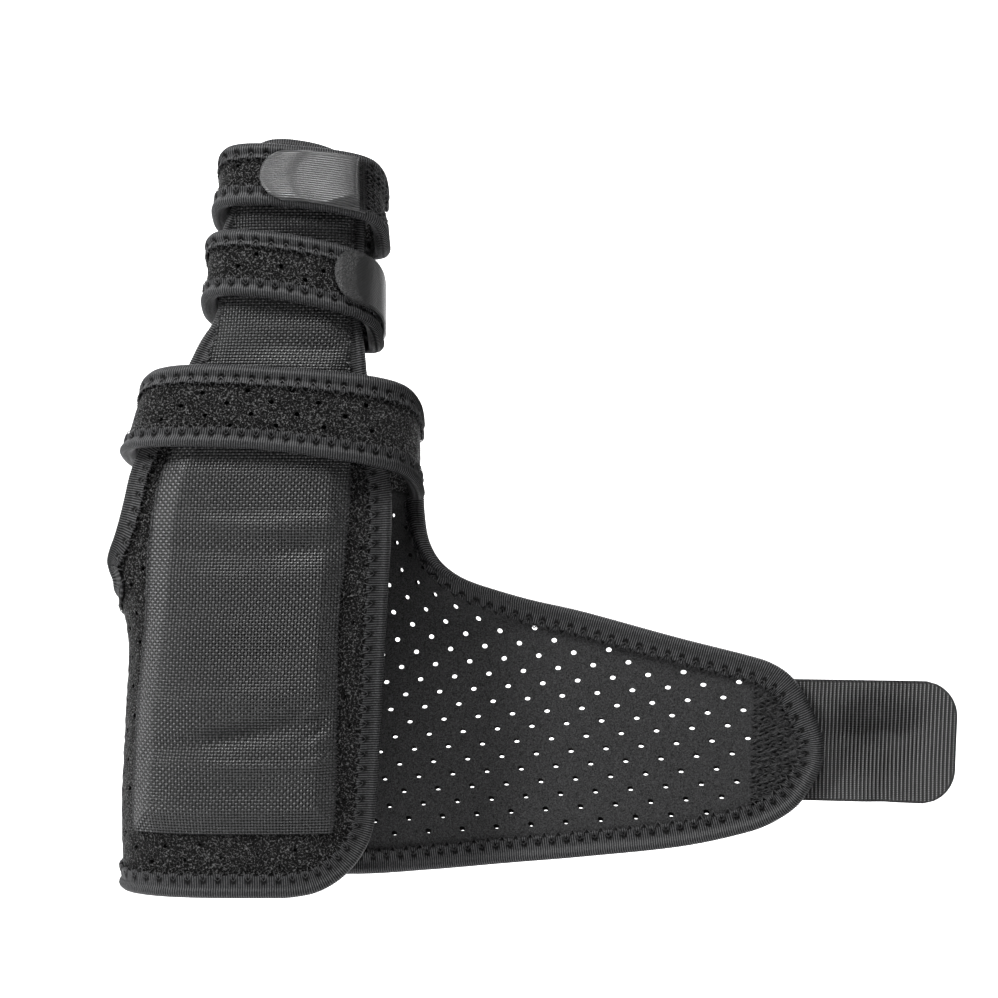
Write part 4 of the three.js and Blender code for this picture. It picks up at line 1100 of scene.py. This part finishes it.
def edgeTape(name, node, line, place):
    step = cloth["ribPitch"] / 2
    dense, _ = evenly(line, 0.5, place)
    dense = softened(dense, 3)
    points, run = evenly(dense, step, place)
    ahead = np.gradient(points, axis=0)
    ahead = softened(ahead, 6)
    ahead /= np.linalg.norm(ahead, axis=1)[:, None]
    inward = np.stack([-ahead[:, 1], ahead[:, 0]], axis=1)
    spot = lambda w, n: place(points[:, 0] + w * inward[:, 0], points[:, 1] + w * inward[:, 1], n)
    piece = makeTape(name, node, spot, run, cloth["slot"], cloth["tapeWidth"])
    print(name + ":", round(run[-1]), "mm of tape,", len(piece.data.polygons), "faces")
    return spot, run, cloth["tapeWidth"]


def ringTape(name, node, ringName, isUpper, width, first=180.0, last=540.0):
    ring = rings[ringName]
    angle = np.linspace(first, last, 1441)  # a closed one starts behind
    edge = ringPlace(ring, angle, 1.0 if isUpper else 0.0)
    run = runAlong(edge)
    closed = last - first == 360
    steps = 2 * int(round(run[-1] / cloth["ribPitch"]))
    at = np.linspace(0, run[-1], steps + 1)
    angle = np.interp(at, run, angle)
    if closed:
        angle, at = angle[:-1], at[:-1]

    def spot(w, n):
        fromEdge = (lip + w) / ring["height"]
        return ringPlace(ring, angle, 1 - fromEdge if isUpper else fromEdge, n)

    piece = makeTape(name, node, spot, at, cloth["ringSlot"], width, closed)
    print(name + ":", round(run[-1]), "mm of tape,", len(piece.data.polygons), "faces")
    return spot, at, width


def panelEdgeLine():
    right, left = panelSides()
    s = np.linspace(-wing["thumbEnd"], -wing["seamBehind"], 60)
    stop = np.where(np.arange(60) == 0, wing["thumbStop"], lip)
    z = backThumbZ(s) - stop
    behind = pairs(-s - thumbHalf(z), z)
    bottom = pairs(np.linspace(right[0, 0], seamReach(lip), 120), lip)
    line = np.concatenate([behind, left[1:], right[::-1], bottom[1:]])
    return line[::-1]


def wingEdgeLine():
    s, low, _ = backLimits(wingStations(160))
    top = np.concatenate([np.linspace(wing["start"] + 0.05, 80, 40), s[s > 81]])
    _, _, high = backLimits(top)
    rise = np.array([[top[0] - 0.9, high[0] + 3.2]])  # on up to the band's own tape
    return np.concatenate([pairs(s, low), pairs(top, high)[::-1], rise])


def makeRingTab(name, node, look):
    tab = tabs[node]
    ring = rings[tab["ring"]]
    first = ringAngleAtX(ring, tab["tipX"])
    last = ringAngleAtX(ring, tab["lastX"]) if "lastX" in tab else tab["last"]
    across = np.linspace(0, 1, tab["columns"])
    along = np.linspace(0, 1, 71)
    gridAlong, gridAcross = np.meshgrid(along, across, indexing="ij")
    bow = np.degrees(tab["round"]) * (1 - np.sqrt(np.maximum(0, 1 - (2 * gridAcross - 1) ** 2 * 0.985)))
    angle = first + bow + (last - first - bow) * gridAlong
    share = tab["low"] + (tab["high"] - tab["low"]) * gridAcross
    rise = cloth["ringSlot"] + cloth["tape"] + tab["gap"]
    edge = smoothStep(0, 0.05, np.minimum(gridAcross, 1 - gridAcross)) * smoothStep(0, 0.03, gridAlong)
    wide = (tab["high"] - tab["low"]) * ring["height"]
    swell = tab["swell"] * hills(gridAlong * 40, gridAcross * 18, 11, 51)
    rib = tab["ribHeight"] * np.sin(2 * math.pi * gridAcross * wide / tab["rib"]) * edge
    if "lastX" in tab:  # bulges out, and is sewn down at its end and pulled in at its lower corner
        corner = smoothStep(0.32, 0.12, gridAcross + 0.75 * (0.93 - gridAlong))
        sewn = smoothStep(0.88, 0.96, gridAlong)
        swell += tab["bulge"] * smoothStep(0, 0.4, gridAlong) * (1 - corner) * (1 - sewn) - 0.4 * sewn
    top = rise + tab["thick"] * (0.55 + 0.45 * edge) + swell + rib
    outer = ringPlace(ring, angle, share, top)
    run = runAlong(outer[:, tab["columns"] // 2])
    outer = outer.reshape(-1, 3)
    inner = ringPlace(ring, angle, share, rise + swell * 0.6).reshape(-1, 3)
    uv = np.stack([gridAlong * run[-1], gridAcross * wide], axis=-1).reshape(-1, 2)
    piece = closedSheet(name, gridFaces(*angle.shape), outer, inner, uv)
    dress(piece, look, "hook_tape", node)
    print(name + ":", len(piece.data.polygons), "faces")


def makeClosingTab():
    tab = tabs["closing_tab"]
    half = tab["width"] / 2
    across = np.linspace(-half, half, 46)
    past = np.maximum(0, np.abs(across) - half + tab["corner"])
    end = tab["end"] - tab["corner"] + np.sqrt(np.maximum(0, tab["corner"] ** 2 - past**2 * 0.985))
    steps = 6 * math.ceil((tab["end"] - tab["start"]) / tab["rib"]) + 1
    gridAlong, gridAcross = np.meshgrid(tab["start"] + np.arange(steps) * tab["rib"] / 6, across, indexing="ij")
    s = np.minimum(gridAlong, end[None, :])
    cut = (gridAlong > end[None, :]).ravel()
    faces = [f for f in gridFaces(*s.shape) if not all(cut[i] for i in f)]
    z = tab["middle"] + gridAcross
    inside = smoothStep(0, 1.0, half - np.abs(gridAcross)) * smoothStep(0, 1.0, end[None, :] - s)
    hump = inside * (0.5 + 0.5 * np.cos(2 * math.pi * gridAlong / tab["rib"]))
    foldS, foldZ = tab["foldAt"]
    crease = (s - foldS) - tab["foldLean"] * (z - foldZ)
    fold = tab["fold"] * np.exp(-((crease / tab["foldWide"]) ** 2))
    fold = fold * smoothStep(*tab["foldHeights"], z) * smoothStep(*tab["foldReach"], s)
    (dentS, dentZ), (dentLong, dentTall) = tab["dentAt"], tab["dentSize"]
    dent = tab["dent"] * np.exp(-(((s - dentS) / dentLong) ** 2) - (((z - dentZ) / dentTall) ** 2))
    bend = fold + dent - tab["curl"] * smoothStep(*tab["curlReach"], s)
    rise = tab["overSheet"] + cloth["tape"] + tab["gap"]
    outer = backPlace(s, z, rise + tab["thick"] + bend).reshape(-1, 3)
    inner = backPlace(s, z, rise + bend - tab["ribHeight"] * hump).reshape(-1, 3)
    uv = np.stack([s, z], axis=-1).reshape(-1, 2)
    used, faces = keepUsed(faces, s.size)
    piece = closedSheet("closingTab", faces, outer[used], inner[used], uv[used], sharp=80)
    # how far up its rib a point is, which sets the painted highlight and shade
    markPoints(piece, "crown", np.concatenate([np.full(len(used), 0.4), hump.ravel()[used]]))
    weldSeam(piece)
    dress(piece, "hookTab", "hook_tape", "closing_tab")
    print("closing tab:", len(piece.data.polygons), "faces")


# sewing threads: short tubes along lines of points
def makeThreads(name, lines, radius, look="thread", slotName="tape"):
    sides = 5
    turn = np.arange(sides) * 2 * math.pi / sides
    aslant = np.array([0.31, 0.59, 0.74])  # along no thread
    points, faces = [], []
    total = 0
    for line in lines:
        line = np.asarray(line, float)
        ahead = np.gradient(line, axis=0)
        ahead /= np.maximum(np.linalg.norm(ahead, axis=1), 1e-9)[:, None]
        across = np.cross(ahead, aslant)
        across /= np.linalg.norm(across, axis=1)[:, None]
        other = np.cross(ahead, across)
        thick = np.full(len(line), radius)
        thick[[0, -1]] *= 0.55
        around = np.cos(turn)[None, :, None] * across[:, None] + np.sin(turn)[None, :, None] * other[:, None]
        tube = line[:, None] + thick[:, None, None] * around
        points.append(tube.reshape(-1, 3))
        rows = len(line)
        faces += [tuple(total + i for i in f) for f in gridFaces(rows, sides, ringColumns=True)]
        faces.append(tuple(total + j for j in reversed(range(sides))))
        faces.append(tuple(total + (rows - 1) * sides + j for j in range(sides)))
        total += rows * sides
    piece = makeMesh(name, np.concatenate(points), faces, sharp=80)
    dress(piece, look, slotName)
    print(name + ":", len(lines), "stitches")


def seamStitches(spot, run, width, slot, isOuter, turned=False):
    # a V of thread at every dent of a binding, from the sheet to the tape and back
    top, sheet = laminate / 2 + slot + cloth["tape"], laminate / 2 + 0.2
    deep = width - binding["dentIn"]
    half = [(-1.9, width + 0.8, sheet), (-1.5, width + 0.1, top + 0.05), (-0.9, width - 1.2, top + 0.12),
            (-0.35, deep + 0.4, top - 0.05)]
    shape = half + [(0, deep, top - 0.45)] + [(-along, inward, n) for along, inward, n in reversed(half)]
    if turned:  # the same V the other way up, so that the two cross
        shape = [(along, 2 * width - 1.3 - inward, sheet + 0.25 if inward < width - 1.2 else top + 0.3)
                 for along, inward, _ in shape]
    step = run[1] - run[0]
    first = binding["dentPitch"] * (1.0 if turned else 0.5)
    centres = np.arange(first, run[-1] - 2.4, binding["dentPitch"])
    spots = []
    for along, inward, n in shape:
        index = np.clip(np.round((centres + along) / step).astype(int), 0, len(run) - 1)
        spots.append(spot(inward, (n if isOuter else -n) - laminate / 2)[index])
    return [np.stack([place[k] for place in spots]) for k in range(len(centres))]


def zigzagLine(start, end, steps, swing, seed, over=None):
    # one run of zigzag thread up the lining side of the wing, or on the outside at a height over its sheet
    local = np.random.default_rng(seed)
    t = np.linspace(0, 1, steps * 6 + 1)
    start, end = np.array(start, float), np.array(end, float)
    ahead = (end - start) / np.linalg.norm(end - start)
    side = np.array([-ahead[1], ahead[0]])
    wave = np.interp((t * steps) % 1, [0, 0.5, 1], [-1, 1, -1])
    swing = swing * wave + local.uniform(-0.3, 0.3, len(t))
    line = start + (end - start) * t[:, None] + side * swing[:, None]
    dive = 0.35 * (np.abs(wave) > 0.8)  # into the cloth at each turn
    if over is not None:
        return backPlace(line[:, 0], line[:, 1], over - dive)
    sag, pucker = wingRelief(line[:, 0], line[:, 1])
    return backPlace(line[:, 0], line[:, 1], sag - pucker - laminate - 0.22 + dive)


sewing = {
    # half thicknesses
    "seam": 0.17, "wing": 0.24, "wingEnd": 0.26, "closingTab": 0.24, "butt": 0.22, "edge": 0.2,
    "wingEndColumns": (172.6, 174.8, 177, 179.2, 181.4, 183.6), "wingEndMargin": 6,
    "tabColumns": (174.6, 177.6, 180.6, 183.6), "tabMargin": 2.5, "overTab": 0.18,
    "pocketStep": 0.55, "buttStep": 0.5, "buttSwing": 2.1,
}


def wingEndLines():
    lines, margin = [], sewing["wingEndMargin"]
    for k, s in enumerate(sewing["wingEndColumns"]):
        _, low, high = backLimits(s)
        lines.append(zigzagLine((s, low + margin), (s, high - margin), 15, 1.4, 70 + k))
    return lines


def closingTabLines():
    tab = tabs["closing_tab"]
    reach = tab["width"] / 2 - sewing["tabMargin"]
    low, high = tab["middle"] - reach, tab["middle"] + reach
    over = tab["overSheet"] + cloth["tape"] + tab["gap"] + tab["thick"] + sewing["overTab"]
    return [zigzagLine((s, low), (s, high), 13, 1.2, 90 + k, over) for k, s in enumerate(sewing["tabColumns"])]


def buttSeamLines():
    # two crossing zigzags over the butt seam
    width = cloth["tapeWidth"]
    z = np.arange(lip + width + 0.6, palmPanel["notchLow"] - width - 1, sewing["buttStep"])
    beat = np.arange(len(z)) % 4
    swing = sewing["buttSwing"] * np.array([-1, 0, 1, 0])[beat]
    height = np.array([0.1, 0.5, 0.1, 0.5])[beat]
    return [palmPlace(seamReach(z) + sign * swing, z, height) for sign in (1, -1)]


def pocketEdgeLines():
    # zigzag over both side edges of each pocket
    lines = []
    for node, p in pockets.items():
        z = np.arange(p["edges"][0][0] + 0.6, p["edges"][-1][0] - 2, sewing["pocketStep"])
        beat = np.arange(len(z)) % 4
        swing, height = np.array([-0.5, 0.3, 1.1, 0.3])[beat], np.array([0.35, 1.0, 1.25, 1.0])[beat]
        for side, sign in zip(pocketSides[node], (1, -1)):
            edge = reachAtX(side(z), z) + sign * swing
            lines.append(palmPlace(edge, z + rng.uniform(-0.12, 0.12, len(z)), p["lift"] + height))
    return lines


def strapEndLines():
    # four zigzags where the upper strap's end is sewn, past the tab
    strap, count = rings["upper_finger_strap"], 37
    first = ringAngleAtX(strap, tabs["upper_finger_tab"]["lastX"] + 0.9) + 2
    swing = np.interp(np.arange(count) % 4, [0, 2, 3], [-2.4, 2.4, 0])
    share = np.linspace(0.14, 0.86, count)
    return [ringPlace(strap, first + 5.5 * column + swing, share, 1.25) for column in range(4)]


def tabEndLines():
    # three close rows across the upper tab's sewn end
    strap, count = rings["upper_finger_strap"], 61
    swing = np.where(np.arange(count) % 2, 0.5, -0.5)
    share = np.linspace(0.09, 0.89, count)
    columns = [tabs["upper_finger_tab"]["lastX"] - 1.5 + 0.75 * k for k in range(3)]
    return [ringPlace(strap, ringAngleAtX(strap, x) + swing, share, 2.25) for x in columns]


makePalmPanel()
makePocket("palmPocket", "palm_pocket")
makePocket("fingerPocket", "finger_pocket")
makeBackPanel()
makeRing("knuckleBand", "knuckle_band", 101)
makeRing("upperFingerStrap", "upper_finger_strap", 111)
makeRing("lowerFingerStrap", "lower_finger_strap", 121)
panelSeam = edgeTape("palmPanelBinding", "palm_panel_binding", panelEdgeLine(), palmPlace)
wingSeam = edgeTape("wingBinding", "wing_binding", wingEdgeLine(), backPlace)
band, upper, lower = "knuckle_band", "upper_finger_strap", "lower_finger_strap"
ringSeams = [
    ringTape("knuckleBandUpperBinding", "knuckle_band_upper_binding", band, True, 5.2),
    ringTape("knuckleBandLowerBinding", "knuckle_band_lower_binding", band, False, 5.4, -164, 92),
    ringTape("upperStrapUpperBinding", "upper_finger_strap_upper_binding", upper, True, 4.4),
    ringTape("upperStrapLowerBinding", "upper_finger_strap_lower_binding", upper, False, 5.4),
    ringTape("lowerStrapUpperBinding", "lower_finger_strap_upper_binding", lower, True, 4.4),
    ringTape("lowerStrapLowerBinding", "lower_finger_strap_lower_binding", lower, False, 5.0),
]
makeRingTab("upperFingerTab", "upper_finger_tab", "satinTab")
makeRingTab("lowerFingerTab", "lower_finger_tab", "darkTab")
makeClosingTab()

slot, ringSlot = cloth["slot"], cloth["ringSlot"]
makeThreads("panelSeamStitches", seamStitches(*panelSeam, slot, True), sewing["seam"], "palerThread")
wingLines = seamStitches(*wingSeam, slot, False) + seamStitches(*wingSeam, slot, False, True)
makeThreads("wingSeamStitches", wingLines + seamStitches(*wingSeam, slot, True), sewing["wing"])
ringLines = [line for seam in ringSeams for line in seamStitches(*seam, ringSlot, True)]
makeThreads("strapSeamStitches", ringLines, sewing["seam"], "palerThread")
makeThreads("wingEndStitches", wingEndLines(), sewing["wingEnd"])
makeThreads("closingTabStitches", closingTabLines(), sewing["closingTab"], "thread", "hook_tape")
makeThreads("buttSeamStitches", buttSeamLines(), sewing["butt"], "palerThread", "fleece")
makeThreads("pocketEdgeStitches", pocketEdgeLines(), sewing["edge"], "palerThread", "pocket_cloth")
makeThreads("strapEndStitches", strapEndLines(), sewing["edge"], "palerThread", "fleece")
makeThreads("tabEndStitches", tabEndLines(), sewing["edge"], "thread", "hook_tape")

# stage, lights and camera
studio = {
    "floorZ": -0.11, "backY": 1.6, "bend": 0.5, "reach": 7.0, "wallTop": 2.6,
    "floorColour": (0.93, 0.93, 0.935),
    "eye": (0.0847, -0.722, 0.132), "lens": 75.75, "sensor": 36, "world": 0.07,
}
lights = {
    "key": {"place": (-0.64, -0.5, 0.78), "aim": (0.05, 0, 0.11), "size": 0.3, "watts": 12},
    "fill": {"place": (0.7, -0.8, 0.3), "aim": (0.08, 0, 0.1), "size": 0.6, "watts": 0.6},
    "left": {"place": (-0.95, -0.32, 0.2), "aim": (0.0, 0, 0.1), "size": 0.3, "watts": 1.0},
    "top": {"place": (0.1, -0.42, 0.88), "aim": (0.06, 0, 0.1), "size": 0.3, "watts": 6.5},
    "backLeft": {"place": (-0.75, 0.5, 0.6), "aim": (0, 0, 0.12), "size": 0.6, "watts": 2.5},
    "backRight": {"place": (0.95, 0.5, 0.6), "aim": (0.1, 0, 0.12), "size": 0.6, "watts": 2.5},
    "wall": {"place": (0.08, 0.85, 1.1), "aim": (0.08, 1.6, 0.3), "size": 0.9, "watts": 30},
}


def makeStage():
    radius, floorZ, backY = studio["bend"], studio["floorZ"], studio["backY"]
    arc = np.linspace(0, math.pi / 2, 16)
    bend = [(backY - radius + radius * math.sin(a), floorZ + radius * (1 - math.cos(a))) for a in arc]
    profile = [(-studio["reach"], floorZ)] + bend + [(backY, studio["wallTop"])]
    points = [(x, y, z) for x in (-studio["reach"], studio["reach"]) for y, z in profile]
    faces = [(i, i + 1, len(profile) + i + 1, len(profile) + i) for i in range(len(profile) - 1)]
    mesh = bpy.data.meshes.new("sweep")
    mesh.from_pydata(points, [], faces)
    mesh.shade_smooth()
    sweep = bpy.data.objects.new("sweep", mesh)
    bpy.context.scene.collection.objects.link(sweep)
    paper = newMaterial("pale_paper", 0.9)
    shaderOf(paper).inputs["Base Color"].default_value = (*studio["floorColour"], 1)
    mesh.materials.append(paper)


def addLight(name, place, aim, size, watts):
    light = bpy.data.lights.new(name, "AREA")
    light.shape = "DISK"
    light.size = size
    light.energy = watts
    lamp = bpy.data.objects.new(name, light)
    lamp.location = place
    lamp.rotation_euler = (Vector(aim) - Vector(place)).to_track_quat("-Z", "Y").to_euler()
    lamp.visible_camera = False
    bpy.context.scene.collection.objects.link(lamp)


makeStage()
for name, light in lights.items():
    addLight(name, **light)
world = bpy.data.worlds.new("studio")
world.use_nodes = True
sky = world.node_tree.nodes["Background"]
sky.inputs["Color"].default_value = (1, 1, 1, 1)
sky.inputs["Strength"].default_value = studio["world"]
bpy.context.scene.world = world
bpy.context.scene.view_settings.view_transform = "Standard"

camera = bpy.data.objects.new("camera", bpy.data.cameras.new("camera"))
camera.data.lens = studio["lens"]
camera.data.sensor_width = studio["sensor"]
camera.data.clip_start = 0.01
camera.location = studio["eye"]
camera.rotation_euler = (math.pi / 2, 0, 0)
bpy.context.scene.collection.objects.link(camera)
bpy.context.scene.camera = camera

print("stage set:", len(lights), "lights")
